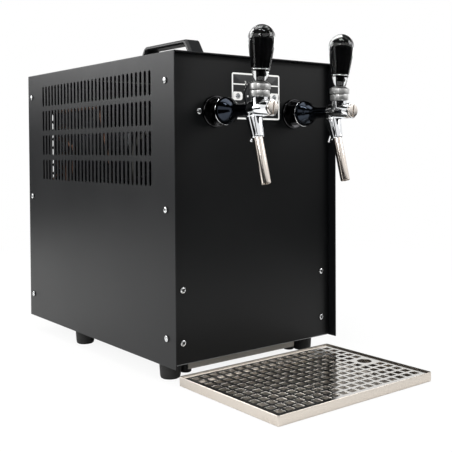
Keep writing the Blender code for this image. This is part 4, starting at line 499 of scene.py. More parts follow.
CAD_FINISHES = {
    "thermostat": galvanised, "cold_jacket": foam, "cold_core": aluminium, "compressor": compressor_enamel,
    "left_product_coil": shaded_coil_steel, "right_product_coil": shaded_coil_steel, "fan_shroud": galvanised,
    "fan_motor": galvanised, "left_lock_nut": satin_steel, "right_lock_nut": satin_steel,
    "mains_inlet": black_plastic, "rocker_switch": gloss_black, "filter_drier": copper,
}


# Cabinet

def sheet_piece(name, section, order, flats, finish, replaced, inside=COVER_MIDDLE,
                body="cabinet", thickness=SHEET, edge=0.3 * MM):
    """Folded sheet: flat parts folded along the section, its wall behind the side that looks
    away from the point inside, its sharp edges rounded and its flat faces flat in the light."""
    parts = folded(flats, section, order)
    points, faces = parts[0]
    corners = points[faces[:, :3]]
    normal = np.cross(corners[:, 1] - corners[:, 0], corners[:, 2] - corners[:, 0])
    if (normal * (corners[:, 0] - np.asarray(inside, float))).sum() < 0:
        parts = [(points, faces[:, ::-1]) for points, faces in parts]
    piece = make_piece(name, parts, finish, [replaced], body, wall=thickness)
    edges = piece.modifiers.new("Edges", "BEVEL")
    edges.width, edges.segments = edge, 2
    edges.limit_method, edges.angle_limit = "ANGLE", np.radians(55)
    piece.modifiers.new("Flats", "WEIGHTED_NORMAL").keep_sharp = True


def bent(corners, radius=2.4 * MM):
    """Section of a sheet bent at the corners."""
    return eased(corners, radius, 4)


def build_cover():
    """Sides and top folded from one sheet, with round-ended air slots in the left side."""
    half = COVER_HIGH[0]
    section = bent([(-half, BOTTOM_Z), (-half, TOP_Z), (half, TOP_Z), (half, BOTTOM_Z)], 1.6 * MM)
    row_pitch, column_pitch = 43.2, 12.32
    rows = TOP_Z - BOTTOM_Z - 40.7 * MM - np.arange(3, -1, -1) * row_pitch * MM
    columns = FRONT_Y + 63 * MM + np.arange(30) * column_pitch * MM
    half_pitch, half_hole = (row_pitch / 2 * MM, column_pitch / 2 * MM), (17.85 * MM, 3.1 * MM)
    flats = perforated(section, rows, columns, half_pitch, half_hole, half_hole[1], (FRONT_Y, BACK_Y))
    sheet_piece("cover_sheet", section, (0, 2, 1), flats, powder_coat, "cover")


def build_panels():
    """Front and rear sheets with returns along the side walls, the rear one with air slots, and
    the floor pan with its two upturned flanges."""
    half, deep = 153.7 * MM, 26 * MM
    low, high = 28.4 * MM, 464.5 * MM
    section = bent([(-half, PANEL_Y + deep), (-half, PANEL_Y), (half, PANEL_Y), (half, PANEL_Y + deep)])
    sheet_piece("front_sheet", section, (0, 1, 2), [strip(way_along(section), [low, high])], shaded_panel_coat,
                "front_panel")
    section = bent([(-half, REAR_Y - deep), (-half, REAR_Y), (half, REAR_Y), (half, REAR_Y - deep)])
    column_pitch, row_pitch = 25, 16
    columns = np.interp(-113 * MM + np.arange(4) * column_pitch * MM, section[:, 0], way_along(section))
    rows = TOP_Z - 75.3 * MM - np.arange(7, -1, -1) * row_pitch * MM
    half_pitch, half_hole = (column_pitch / 2 * MM, row_pitch / 2 * MM), (2.75 * MM, 6.3 * MM)
    flats = perforated(section, columns, rows, half_pitch, half_hole, half_hole[0], (low, high))
    sheet_piece("rear_sheet", section, (0, 1, 2), flats, powder_coat, "rear_panel")
    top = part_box("base_pan")[1][2]
    front, back, side = PANEL_Y + 1.8 * MM, REAR_Y - 1.8 * MM, 151.9 * MM
    section = bent([(front, top), (front, BOTTOM_Z), (back, BOTTOM_Z), (back, top)])
    sheet_piece("floor_pan", section, (1, 2, 0), [strip(way_along(section), [-side, side])], galvanised,
                "base_pan")


def screw_head(radius, height, drive, turn, centre):
    """Domed head: height falls as (1 - share ** 2.6) ** 0.6 towards the rim and a drive recess is pressed in,
    either a cross (arms out to 0.5 of the radius) or a hexagon (0.5 of the radius)."""
    steps = 48
    share = np.concatenate([np.linspace(0, 0.66, 12), np.linspace(0.72, 1, 6)])
    ring_points = circle(steps)
    rise = height * (1 - (0.96 * share) ** 2.6)[:, None] ** 0.6 * np.ones(steps)
    x, y = share[:, None] * ring_points[:, 0], share[:, None] * ring_points[:, 1]
    if drive == "cross":
        arm = np.minimum(np.abs(x), np.abs(y)) < 0.13
        pressed = arm & (share[:, None] < 0.52)
    else:
        pressed = share[:, None] < 0.5 * hexagon_radius(steps) * np.ones((len(share), 1))
    rise = np.where(pressed, rise - 0.5 * height, rise)
    loops = [np.stack([x * radius, y * radius, rise], -1)[1:]]
    for out, down in ((1.0, 0.0), (0.45, 0.0), (0.45, -0.9)):
        loops.append(np.column_stack([out * radius * ring_points, np.full(steps, down * height)])[None])
    points, faces = lofted(np.concatenate(loops))
    return placed(points, turn, centre), faces


def build_screws():
    """Domed cross-head screws in the cover's sides and button-head ones in the front sheet, each
    on a black ring, painted shade round its head. A black plug in each button head's socket paints the shade
    there."""
    heights, ends = (66.3 * MM, 246.3 * MM, 426.3 * MM), (-131.85 * MM, 314.35 * MM)
    places = [("cross", TO_LEFT if sign < 0 else TO_RIGHT, (sign * COVER_HIGH[0], along, height))
              for sign in (-1, 1) for along in ends for height in heights]
    spots = [(sign * 134.7 * MM, height) for sign in (-1, 1) for height in (58.2 * MM, 132.8 * MM)]
    spots += [(sign * 104.3 * MM, TAP_Z) for sign in (-1, 1)]
    places += [("hexagon", TO_FRONT, (across, PANEL_Y, height)) for across, height in spots]
    # Black ring under each head: painted shade round the head
    shade_ring = [(1.9, 0.1), (4.5, 0.1), (4.7, 0.3), (4.6, 1.1), (4.3, 1.3), (1.9, 1.3)]
    # Black plug in a button head's socket: painted shade on the socket's floor
    socket = [(0, 0.1), (2.0, 0.1), (2.0, 1.95), (0, 1.95)]
    heads, shade_rings = {"cross": [], "hexagon": []}, []
    for drive, turn, place in places:
        seat = np.array(place) + turn[:, 2] * 1.3 * MM
        heads[drive].append(screw_head(4.3 * MM, 1.1 * MM, drive, turn, seat))
        shade_rings.append(turned(shade_ring, 48, turn, place))
        if drive == "hexagon":
            shade_rings.append(turned(socket, 24, turn, place))
    for name, parts, finish in (("side_screws", heads["cross"], zinc),
                                ("front_screws", heads["hexagon"], zinc), ("painted_shade_rings", shade_rings, rubber)):
        make_piece(name, parts, finish, sharp=30)


def build_underside():
    """Rubber feet, the angle rail between the front ones and its two buffers."""
    profile = [(0, 26), (15.4, 26), (16.1, 25.6), (16.3, 24.8), (16.1, 21.5), (15.0, 5.0), (14.6, 3.0),
               (13.9, 1.2), (12.6, 0.3), (11.6, 0), (0, 0)]
    for end, along in (("front", -100.15 * MM), ("rear", 164.45 * MM)):
        for name, sign in SIDES:
            foot = turned(profile, 56, UPWARD, (sign * 129.6 * MM, along, 0))
            make_piece(f"rubber_foot_{end}_{name}", [foot], rubber, [f"foot_{end}_{name}"])
    low, high = np.array(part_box("cross_rail"))
    section = eased([(low[1] + 4 * MM, low[2]), (low[1], low[2]), (low[1], high[2]), (high[1], high[2])],
                    1.8 * MM, 3)
    sheet_piece("angle_rail", section, (1, 2, 0), [strip(way_along(section), [low[0], high[0]])],
                rolled_steel, "cross_rail", (0, high[1], low[2]))
    for name, sign in SIDES:
        low, high = np.array(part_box(f"rail_buffer_{name}")) / MM
        radius, middle = (high[0] - low[0]) / 2, (low + high) / 2
        profile = [(0, high[2]), (radius - 0.6, high[2]), (radius, high[2] - 0.6), (radius, low[2] + 1.2),
                   (radius - 1.2, low[2]), (0, low[2])]
        buffer = turned(profile, 40, UPWARD, (middle[0] * MM, middle[1] * MM, 0))
        make_piece(f"rubber_buffer_{name}", [buffer], rubber, [f"rail_buffer_{name}"])


def build_carry_handle():
    """Bridge of moulded plastic: round rectangles carried from one leg over the bar to the other,
    each spanning from the outer outline to the inner one."""
    low, high = np.array(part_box("carry_handle"))
    middle_y, tall = (low[1] + high[1]) / 2, high[2] - low[2]
    outer = np.array([(-95, 0), (-65.5, tall / MM), (65.5, tall / MM), (95, 0)]) * MM
    inner = np.array([(-82, 0), (-58.0, tall / MM - 7), (58.0, tall / MM - 7), (82, 0)]) * MM
    outer, inner = eased(outer, 5 * MM, 6), eased(inner, 4 * MM, 6)
    loops = []
    for out, back in zip(outer, inner):
        across, depth = out - back, np.linalg.norm(out - back) / 2
        outline = round_rectangle(depth, high[0], 3.4 * MM, 1)
        flat = (out + back) / 2 + outline[:, :1] * across / (2 * depth)
        loops.append(np.stack([outline[:, 1], middle_y + flat[:, 0], low[2] + flat[:, 1]], -1))
    make_piece("bridge_handle", [lofted(loops)], black_plastic, ["carry_handle"])


build_cover()
build_panels()
build_screws()
build_underside()
build_carry_handle()


# Control label and its knob

DIGITS = {
    3: [(0.05, 0.9), (0.35, 1), (0.65, 0.92), (0.72, 0.75), (0.6, 0.57), (0.35, 0.52), (0.65, 0.45),
        (0.78, 0.25), (0.65, 0.06), (0.35, 0), (0.05, 0.1)],
    4: [(0.6, 0), (0.6, 1), (0.02, 0.3), (0.85, 0.3)],
    5: [(0.72, 1), (0.15, 1), (0.1, 0.55), (0.4, 0.62), (0.68, 0.52), (0.78, 0.3), (0.66, 0.07),
        (0.35, 0), (0.05, 0.1)],
}
PRINT_DEPTH = 0.08 * MM
# Scale round the knob: degrees of its first tick and between ticks, millimetres from its middle
DIAL_FIRST, DIAL_STEP, TICKS = 225, 11.25, 25
TICK_FOOT, TICK_TIP, LONG_TICK_TIP, DIGIT_AWAY = 24.0, 25.2, 26.4, 29.3
DIGIT_TALL, DIGIT_MIDDLE = 3.2, (0.42, 0.5)


def printed_line(points, width, face_y, closed=False):
    """Raised printed line in the label's plane: at each point the corner of two offset lines,
    half a width to either side, joined front to back."""
    points = np.asarray(points, float)
    if closed:
        points = np.concatenate([points[-1:], points, points[:1]])
    step = np.diff(points, axis=0)
    step /= np.linalg.norm(step, axis=1, keepdims=True)
    if closed:
        before, after, points = step[:-1], step[1:], points[1:-1]
    else:
        before, after = np.concatenate([step[:1], step]), np.concatenate([step, step[-1:]])
    normal = (before + after)[:, ::-1] * (-1, 1)
    normal /= np.linalg.norm(normal, axis=1, keepdims=True)
    reach = width / 2 / np.maximum((normal * before[:, ::-1] * (-1, 1)).sum(1, keepdims=True), 0.5)
    left, right = points + normal * reach, points - normal * reach
    loops = np.empty((len(points), 4, 3))
    for at, (side, depth) in enumerate(((left, 0), (right, 0), (right, PRINT_DEPTH), (left, PRINT_DEPTH))):
        loops[:, at, 0], loops[:, at, 1], loops[:, at, 2] = side[:, 0], face_y - depth, side[:, 1]
    return lofted(loops, closed)


def printed_patch(outline, face_y):
    """Raised printed patch: its outline front and back, filled in to the middle."""
    outline = np.asarray(outline, float)
    loops = np.stack([np.column_stack([outline[:, 0], np.full(len(outline), face_y - depth), outline[:, 1]])
                      for depth in (0, PRINT_DEPTH)])
    return lofted(loops)


def build_label():
    """Label plate with its white print and two screws, and the knob with its dot."""
    low, high = np.array(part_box("control_label"))
    plate = block(low, high, 0.2 * MM, 2.5 * MM, 1, 6)
    make_piece("label_plate", [plate], label_film, ["control_label"])
    face_y = low[1] + 0.01 * MM
    half_width, half_height = (high[0] - low[0]) / 2, (high[2] - low[2]) / 2
    frame_line = round_rectangle(half_width - 0.9 * MM, half_height - 0.9 * MM, 2.0 * MM) + (0, LABEL_Z)
    lines = [printed_line(frame_line, 2.4 * MM, face_y, closed=True)]
    divider = LABEL_Z + 17.4 * MM
    for sign in (-1, 1):
        lines.append(printed_line([(sign * (half_width - 1.2 * MM), divider), (sign * 21 * MM, divider)],
                                  1.8 * MM, face_y))
        tab = round_rectangle(9.4 * MM, 6.2 * MM, 4.2 * MM) + (sign * 35.6 * MM, LABEL_Z)
        lines.append(printed_patch(tab, face_y))
    for at in range(TICKS):
        turn = np.radians(DIAL_FIRST - at * DIAL_STEP)
        way = np.array([np.cos(turn), np.sin(turn)])
        beside_screw_tab = abs(way[0]) > 0.93 and way[1] < 0.3
        if beside_screw_tab:
            continue
        long = at % 4 == 0
        ends = [way * reach * MM + (0, LABEL_Z) for reach in (TICK_FOOT, LONG_TICK_TIP if long else TICK_TIP)]
        lines.append(printed_line(ends, (0.7 if long else 0.45) * MM, face_y))
        if long and 0 < at < 24:
            digit = (np.array(DIGITS[at // 4 + 1]) - DIGIT_MIDDLE) * DIGIT_TALL * MM
            lines.append(printed_line(digit + way * DIGIT_AWAY * MM + (0, LABEL_Z), 0.5 * MM, face_y))
    make_piece("label_print", lines, white_ink, sharp=20)
    screws = [screw_head(4.0 * MM, 2.2 * MM, "cross", TO_FRONT,
                         (sign * 35.15 * MM, low[1] - 0.1 * MM, LABEL_Z)) for sign in (-1, 1)]
    make_piece("label_screws", screws, zinc, sharp=30)

    steps = 144
    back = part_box("thermostat_knob")[1][1]
    rows = [(2.4, 0), (21.6, 0), (22.3, 0.2), (22.5, 0.7), (22.4, 1.5), (21.9, 2.1), (20.8, 2.5), (16.4, 2.9),
            (15.0, 3.5), (14.3, 4.6), (14.0, 6.5), (13.9, 14.5), (13.5, 16.0), (12.6, 16.8), (11.2, 17.0),
            (9.8, 16.7), (9.2, 16.5), (0, 16.5)]
    turn = np.arange(steps) * 2 * np.pi / steps
    flute = 1 - 0.035 * (0.5 - 0.5 * np.cos(24 * turn)) ** 2
    shape = np.array([flute if 3.4 < height < 16.5 and radius > 12 else np.ones(steps)
                      for radius, height in rows])
    knob = turned(rows, steps, TO_FRONT, (0, back, LABEL_Z), shape=shape)
    make_piece("dial_knob", [knob], black_plastic, ["thermostat_knob"], "thermostat_knob",
               40)
    dot = turned([(0, 3.0), (1.1, 3.0), (1.5, 2.85), (1.6, 2.2), (0, 2.2)], 24, TO_FRONT,
                 (-18.6 * MM, back, LABEL_Z))
    make_piece("knob_dot", [dot], white_ink, body="thermostat_knob")


# Taps

TEETH, TOOTH_DEPTH = 42, 0.008
TAP_STEPS = 96
SPOUT_TILT, HANDLE_LEAN, FLOW_LEVER_REST = np.radians((15.2, 3.5, 25.4))


def knurled(rows, crest, turn, centre):
    """Turned ring whose rows wider than crest carry straight knurling, a rounded sawtooth."""
    steps = 8 * TEETH
    teeth = 1 - TOOTH_DEPTH * np.abs(np.sin(TEETH * np.pi * np.arange(steps) / steps)) ** 1.5
    shape = np.array([teeth if radius > crest else np.ones(steps) for radius, height in rows])
    return turned(rows, steps, turn, centre, shape=shape)


def arc(radius, first, last, count, height=0):
    """Points (radius sin t, height + radius cos t) of a profile, t from first to last."""
    turns = np.linspace(first, last, count)
    return np.stack([radius * np.sin(turns), height + radius * np.cos(turns)], -1)


def tap_piece(tap, name, node, surface, finish, sharp=35, body="cabinet"):
    """One piece of a tap, in place of its node where it has one."""
    make_piece(f"{tap}_{name}", [surface], finish, [f"{tap}_{node}"] if node else (), body, sharp)


def build_tap(tap, sign):
    """The still parts of one tap, from the flange on the panel to the mouth of the nozzle."""
    wall = np.array([sign * TAP_X, PANEL_Y, TAP_Z])
    foot, root = wall + (0, -100 * MM, 0), wall + (0, -84.8 * MM, 0)
    tilt = spun(0, -SPOUT_TILT)
    flange = [(10.3, 0.3), (10.3, 2.9), (17.4, 2.9), (19.0, 3.2), (20.2, 4.0), (21.2, 4.3), (22.3, 4.2),
              (23.0, 3.6), (23.2, 2.8), (23.2, 0.3)]
    tap_piece(tap, "flange_ring", "wall_flange", turned(flange, TAP_STEPS, TO_FRONT, wall), dark_brown_mirror,
              50)

    steps = 144
    hexagon = 12.5 * hexagon_radius(steps, 0.012)
    limits = [(3.2, 12.6), (3.6, 13.3), (4.2, 13.9), (5.0, 14.4), (21.9, 14.4), (22.7, 13.9), (23.3, 13.3),
              (23.7, 12.6)]
    rows = [(1, height) for height, limit in limits] + [(1, 23.7), (1, 3.2)]
    shape = [np.minimum(hexagon, limit) for height, limit in limits] + [np.full(steps, 10.3)] * 2
    nut = turned(rows, steps, TO_FRONT, wall, shape=np.array(shape))
    tap_piece(tap, "hexagon_nut", "hex_nut", nut, dark_brown_mirror, 28)

    bell = smoothed([(19.7, 25.6), (19.55, 28.6), (18.4, 32.0), (15.7, 36.6), (12.7, 41.2), (10.5, 45.8),
                     (9.15, 50.5), (8.45, 56.0), (8.2, 62.0)], 6)
    shank = [(0, 81.2), (8.2, 81.2), *bell[::-1], (19.2, 24.4), (18.3, 24.1), (12.0, 25.0), (10.0, 25.2),
             (10.0, -40), (6.0, -40), (6.0, -60), (3.5, -60), (3.5, -40), (0, -40)]
    tap_piece(tap, "trumpet_shank", "shank", turned(shank, TAP_STEPS, TO_FRONT, wall), dark_blue_mirror)
    # Chrome ring on the shank's rim, brighter than the rest of the shank: a painted highlight on the rim
    highlight_bead = [(19.55, 24.5), (19.95, 24.7), (20.1, 25.1), (19.95, 25.5), (19.6, 25.65), (19.4, 25.1)]
    tap_piece(tap, "painted_highlight_bead", "", turned(highlight_bead, TAP_STEPS, TO_FRONT, wall), chrome, 80)

    barrel = [(0, 123.5), (9.8, 123.5), (9.8, 125.5), (10.4, 125.5), (11.0, 125.2), (11.4, 124.5),
              (11.4, 84.2), (11.1, 83.0), (10.3, 82.1), (9.2, 81.6), (8.2, 81.5), (0, 81.5)]
    neck = [(0, 15.5), (10.5, 15.5), (11.0, 15.0), (11.0, 0), (0, 0)]
    boss = [(0, 0), (10.4, 0), (10.4, -8.6), (10.2, -9.5), (0, -9.5)]
    pin = [(0, 14.9), (2.7, 14.9), (3.0, 14.6), (3.0, 0), (0, 0)]
    body = fused([turned(barrel, TAP_STEPS, TO_FRONT, wall), turned(neck, TAP_STEPS, UPWARD, foot),
                  turned(boss, TAP_STEPS, tilt, root), turned(pin, 32, TO_RIGHT, root)])
    bore = turned([(0, 17), (8.2, 17), (8.2, 9.5), (0, 9.5)], 64, UPWARD, foot)
    tap_piece(tap, "cast_body", "tap_body", fused([body, bore], "DIFFERENCE"), chrome, 32)

    plug = turned([(0, 128.1), (8.2, 128.1), (9.0, 127.9), (9.4, 127.4), (9.5, 126.6), (9.5, 123.8),
                   (0, 123.8)], 72, TO_FRONT, wall)
    points, faces = block((-1.0 * MM, -130 * MM, -12 * MM), (1.0 * MM, -124.7 * MM, 12 * MM), 0.1 * MM)
    slot = (placed(points, spun(1, 0.15), wall), faces)
    tap_piece(tap, "slotted_plug", "end_plug", fused([plug, slot], "DIFFERENCE"), satin_steel,
              32)
    rows = [(8.25, 24.0), (12.9, 24.0), (13.25, 23.8), (13.4, 23.4), (13.4, 16.8), (13.2, 16.2), (12.8, 15.8),
            (8.25, 15.8)]
    tap_piece(tap, "knurled_neck_nut", "neck_nut", knurled(rows, 13.3, UPWARD, foot), matt_nickel,
              18)

    spout = [(4.0, -9.8), (10.9, -9.8), (11.5, -10.1), (11.7, -10.6), (11.5, -11.2), (11.2, -11.5),
             *smoothed([(11.2, -11.7), (10.7, -18), (9.9, -27), (9.0, -36), (8.75, -39.4)], 5),
             (8.5, -40.4), (8.1, -40.8), (7.1, -40.8), (7.1, -32.8), (4.0, -32.8)]
    tap_piece(tap, "tapered_spout", "spout", turned(spout, TAP_STEPS, tilt, root), chrome)
    nozzle = [(6.0, -33.1), (6.8, -33.1), (6.8, -103.4), (6.65, -104.0), (6.4, -104.2), (6.15, -104.0),
              (6.0, -103.4)]
    tap_piece(tap, "nozzle_tube", "nozzle", turned(nozzle, 72, tilt, root), polished_tube)

    hub = turned([(3.3, 11.7), (5.2, 11.7), (5.5, 12.0), (5.5, 14.6), (5.2, 14.9), (3.3, 14.9)], 48, TO_RIGHT,
                 root)
    way = np.array([0, np.sin(FLOW_LEVER_REST), -np.cos(FLOW_LEVER_REST)])
    start = root + (13.3 * MM, 0, 0)
    arm = tube(start + way * np.linspace(4.6, 47.6, 24)[:, None] * MM, 1.2 * MM, 20)
    ball = turned(arc(2.0, 0, np.pi, 17), 32, UPWARD, start + way * 47.6 * MM)
    tap_piece(tap, "flow_arm", "flow_lever", fused([hub, arm, ball]), chrome, 40,
              f"{tap}_flow_lever")


def build_handle(tap, sign):
    """What tips forward on one tap: ball stem, knurled collar, black core and clear shell."""
    body = f"{tap}_tap_lever"
    pivot = np.array([sign * TAP_X, PANEL_Y - 100 * MM, TAP_Z + 20 * MM])
    lean = spun(0, HANDLE_LEAN)
    ball = arc(7.9, np.arctan2(3.0, 7.9), np.pi - np.arctan2(1.8, 7.9), 19)
    stem = [(0, 30), (2.7, 30), (3.0, 29.7), *ball, (1.8, -9.2), (1.3, -9.7), (0, -9.7)]
    tap_piece(tap, "ball_stem", "lever_stem", turned(stem, 48, lean, pivot), satin_steel,
              body=body)

    cup = arc(14.37, np.arccos(5.7 / 14.37), np.arccos(12.2 / 14.37), 9)
    rows = [(3.3, 16.3), (8.2, 16.3), (9.0, 16.1), (9.6, 15.8), (13.3, 13.5), (14.1, 12.9), (14.3, 12.4),
            (14.3, 6.4), (14.2, 5.9), (13.9, 5.7), *cup, (3.3, 12.2)]
    tap_piece(tap, "knurled_collar", "collar_nut", knurled(rows, 14.25, lean, pivot), matt_nickel,
              18, body)
    core = [*arc(11.4, 0, np.pi / 2, 17, 71.6), (10.6, 32.3), (10.2, 31.9), (4.4, 31.6), (3.8, 16.8),
            (3.3, 16.8), (3.3, 30.3), (0, 30.3)]
    tap_piece(tap, "black_core", "handle_core", turned(core, TAP_STEPS, lean, pivot), cast_in_black,
              body=body)

    flank = smoothed([(18.5, 73.5), (17.9, 66), (16.3, 54), (14.2, 41), (12.9, 33.6)], 6)[1:]
    shell = [*arc(18.5, 0, np.pi / 2, 29, 73.5), *flank, (12.5, 33.2), (11.9, 32.8), (11.9, 32.3),
             (12.3, 31.8), (12.2, 31.2), (10.6, 24), (8.9, 17.0), (8.6, 16.6), (0, 16.6)]
    tap_piece(tap, "clear_handle", "handle_shell", turned(shell, 112, lean, pivot), acrylic,
              body=body)
    band = [(12.1, 32.1), (12.7, 32.1), (12.95, 32.4), (12.95, 32.8), (12.7, 33.1), (12.1, 33.1)]
    tap_piece(tap, "handle_band", "", turned(band, 112, lean, pivot), chrome, 80, body)


# Drip tray

def build_tray():
    """Pan drawn from one sheet, its rim rolled over, and the punched grille with folded edges."""
    low, high = np.array(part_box("drip_tray"))
    half, middle = (high - low) / 2, (high + low) / 2
    rows = ((3.4, 0), (1.9, 0.1), (0.8, 0.6), (0.15, 1.6), (0, 3.0), (0, 13.2), (0.12, 13.7), (0.45, 14.0),
            (0.8, 13.9), (1.1, 13.6), (1.2, 13.0), (1.2, 3.2), (1.5, 2.1), (2.2, 1.45), (3.6, 1.2))
    loops = []
    for draw, height in rows:
        outline = round_rectangle(half[0] - draw * MM, half[1] - draw * MM, (2.6 - 0.6 * min(draw, 3.4)) * MM,
                                  8)
        loops.append(np.column_stack([outline, np.full(len(outline), height * MM)]))
    points, faces = lofted(loops)
    make_piece("drawn_tray", [(points + (middle[0], middle[1], 0), faces)], brushed_steel,
               ["drip_tray"], "tray")

    pitch, hole, corner = 15.87 * MM, 5.65 * MM, 1.0 * MM
    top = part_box("drip_grille")[1][2]
    back, side = 103.2 * MM, 139.5 * MM
    section = bent([(-back, 1.5 * MM), (-back, top), (back, top), (back, 1.5 * MM)], 1.8 * MM)
    rows = np.interp((np.arange(12) - 5.5) * pitch, section[:, 0], way_along(section))
    columns = (np.arange(17) - 8) * pitch
    finger = np.array([(rows[5] + rows[6]) / 2, columns[15] + pitch / 2])
    flats = perforated(section, rows, columns, (pitch / 2, pitch / 2), (hole, hole), corner, (-side, side),
                       finger)
    marks = cell_lines((-pitch / 2, pitch / 2), pitch / 2, hole - corner)[:-1]
    line = np.column_stack([np.full(len(marks), pitch), marks])
    edge = np.concatenate([line, line[:, ::-1] * (-1, 1), -line, line[:, ::-1] * (1, -1)])
    thumb, thumb_faces = ring(edge / np.linalg.norm(edge, axis=1, keepdims=True) * 11 * MM, edge)
    sheet_piece("punched_grille", section + (middle[1], 0), (1, 2, 0),
                [*flats, (thumb + finger, thumb_faces)], polished_steel, "drip_grille", (0, middle[1], 0),
                "grille", 1.2 * MM, 0.22 * MM)


build_label()
for side_name, side_sign in SIDES:
    build_tap(side_name, side_sign)
    build_handle(side_name, side_sign)
build_tray()


# Inside and rear: what shows through the slots and at the back

def build_condenser():
    """Condenser: fins across a tube that runs to and fro through them, and an end plate each side."""
    low, high = np.array(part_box("condenser"))
    y_low, y_high, half = low[1], high[1], 108 * MM
    z_low, z_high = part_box("fan_shroud")[0][2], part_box("fan_shroud")[1][2]
    places = np.arange(-half + 3 * MM, half - 2 * MM, 2.6 * MM)
    corners = np.array([(x, y, z) for x in (-0.1 * MM, 0.1 * MM) for y in (y_low, y_high)
                        for z in (z_low, z_high)])
    quads = np.array([(0, 1, 3, 2), (4, 6, 7, 5), (0, 4, 5, 1), (2, 3, 7, 6), (0, 2, 6, 4), (1, 5, 7, 3)])
    fins = copied(corners, quads, np.column_stack([places, 0 * places, 0 * places]))
    make_piece("condenser_fins", [fins], aluminium, ["condenser"])
    plates = [block((min(ends), y_low, low[2]), (max(ends), y_high, z_high), 0.3 * MM)
              for ends in ((-half, -half - SHEET), (half, half + SHEET))]
    make_piece("condenser_end_plates", plates, galvanised)
    pitch, middle_y, middle_z = 25.6 * MM, (y_low + y_high) / 2, (z_low + z_high) / 2
    turn = np.linspace(-np.pi / 2, np.pi / 2, 13)
    bends = [np.stack([side * (half + 4 * MM + pitch / 2 * np.cos(turn)),
                       low + pitch / 2 * (1 + np.sin(turn))], -1)
             for side, low in zip((-1, 1, -1, 1), middle_z + np.arange(-2, 2) * pitch)]
    path = np.concatenate([[(half + 2 * MM, middle_z - 2 * pitch)], *bends,
                           [(-half - 1.8 * MM, middle_z + 2 * pitch)]])
    path = np.column_stack([path[:, 0], np.full(len(path), middle_y), path[:, 1]])
    make_piece("condenser_tube", [tube(path, 4.25 * MM)], copper)


def build_pipes():
    """Discharge and suction pipes bent through the stations of their route."""
    discharge = [(-28.3, 160.95, 129.6), (-53.9, 160.95, 129.6), (-99.6, 110.15, 264.8),
                 (-131.6, 90.95, 368.0), (-131.6, 100.55, 396.8), (-131.6, 122.95, 400.0),
                 (-131.6, 241.95, 400.0), (-128.4, 267.55, 400.0), (-116.2, 273.95, 400.0),
                 (-109.8, 273.95, 400.0)]
    suction = [(-28.3, 160.95, 92.1), (-53.9, 160.95, 92.1), (-131.6, 218.75, 117.7), (-131.6, 218.75, 324.3),
               (-131.6, 205.95, 337.1), (-131.6, 193.15, 324.3), (-131.6, 189.95, 215.1),
               (-73.05, -16.45, 215.1), (-3.7, -42.05, 202.3), (15.5, -42.05, 176.7), (15.5, -42.05, 160.7)]
    for name, node, stations in (("bent_discharge_pipe", "discharge_pipe", discharge),
                                 ("bent_suction_pipe", "suction_pipe", suction)):
        route = smoothed(np.array(stations) * MM, 10)
        make_piece(name, [tube(route, 3.2 * MM, 20)], copper, [node])


def build_fan():
    """Fan: a turned hub and five blades, each a plate whose pitch eases off from root to tip and
    whose thickness follows a flat lens."""
    low, high = np.array(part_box("fan_blade"))
    centre = (low + high) / 2
    hub = turned([(0, 5.6), (2.9, 5.6), (2.9, 6), (15.2, 6), (16, 5.2), (16, -5.4), (15.4, -6), (0, -6)], 48,
                 TO_FRONT, centre)
    parts = [hub]
    share, chord = np.linspace(0, 1, 13), np.linspace(-1, 1, 13)
    chord = np.concatenate([chord, chord[::-1]])
    for at in range(5):
        reach = 15 * MM + share * 56.5 * MM
        pitch = np.radians(28 - 6 * share)
        half_chord = 14.6 * MM * (0.82 + 0.18 * np.sin(np.pi * share)) * (1 - 0.25 * share ** 6)
        along = half_chord[:, None] * chord
        thick = 0.8 * MM * np.sqrt(1.04 - chord ** 2) * np.repeat((1, -1), 13)
        across = along * np.cos(pitch)[:, None] - thick * np.sin(pitch)[:, None]
        rise = along * np.sin(pitch)[:, None] + thick * np.cos(pitch)[:, None]
        loops = np.stack([np.broadcast_to(reach[:, None], along.shape), across, rise], -1)
        points, faces = lofted(loops)
        parts.append((placed(points, TO_FRONT @ spun(2, 2 * np.pi * at / 5), centre), faces))
    make_piece("moulded_fan", [fused(parts)], black_plastic, ["fan_blade"], "fan")


def build_rear_fittings():
    """Twin push-in beer inlet: plate with round corners and two stepped barrels with release rings."""
    low, high = np.array(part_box("beer_inlets"))
    across = (low[0] + high[0]) / 2
    barrel = [(4.8, -12.8), (9.6, -12.8), (10.0, -12.4), (10.0, 16.0), (9.4, 16.8), (9.4, 18.2), (10.0, 19.0),
              (10.0, 26.2), (9.5, 26.8), (6.9, 26.8), (6.9, 22), (4.8, 22)]
    collet = [(4.8, 23), (6.6, 23), (6.6, 27.4), (8.6, 27.6), (8.8, 28.2), (8.8, 29.4), (8.4, 29.9),
              (5.4, 29.9), (4.8, 29.3)]
    plate = block((low[0], REAR_Y + 0.3 * MM, low[2]), (high[0], REAR_Y + 3.3 * MM, high[2]), 0.5 * MM,
                  5 * MM, 1, 6)
    barrels, rings = ([turned(profile, 64, TO_BACK, (across, REAR_Y, height))
                       for height in (122.8 * MM, 154.8 * MM)] for profile in (barrel, collet))
    make_piece("push_in_barrels", [fused([plate, *barrels])], black_plastic, ["beer_inlets"])
    make_piece("release_rings", rings, satin_steel)


build_condenser()
build_pipes()
build_fan()
build_rear_fittings()

for node, finish in CAD_FINISHES.items():
    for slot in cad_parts[node].material_slots:
        slot.material = finish


# Studio: pale table, even white surroundings and soft lamps

def plain(name, colour):
    """Matt material of one colour."""
    made = bpy.data.materials.new(name)
    made.use_nodes = True
    surface = made.node_tree.nodes["Principled BSDF"]
    surface.inputs["Base Color"].default_value = linear(colour)
    surface.inputs["Roughness"].default_value = 0.9
    surface.inputs["Specular IOR Level"].default_value = 0.0
    return made


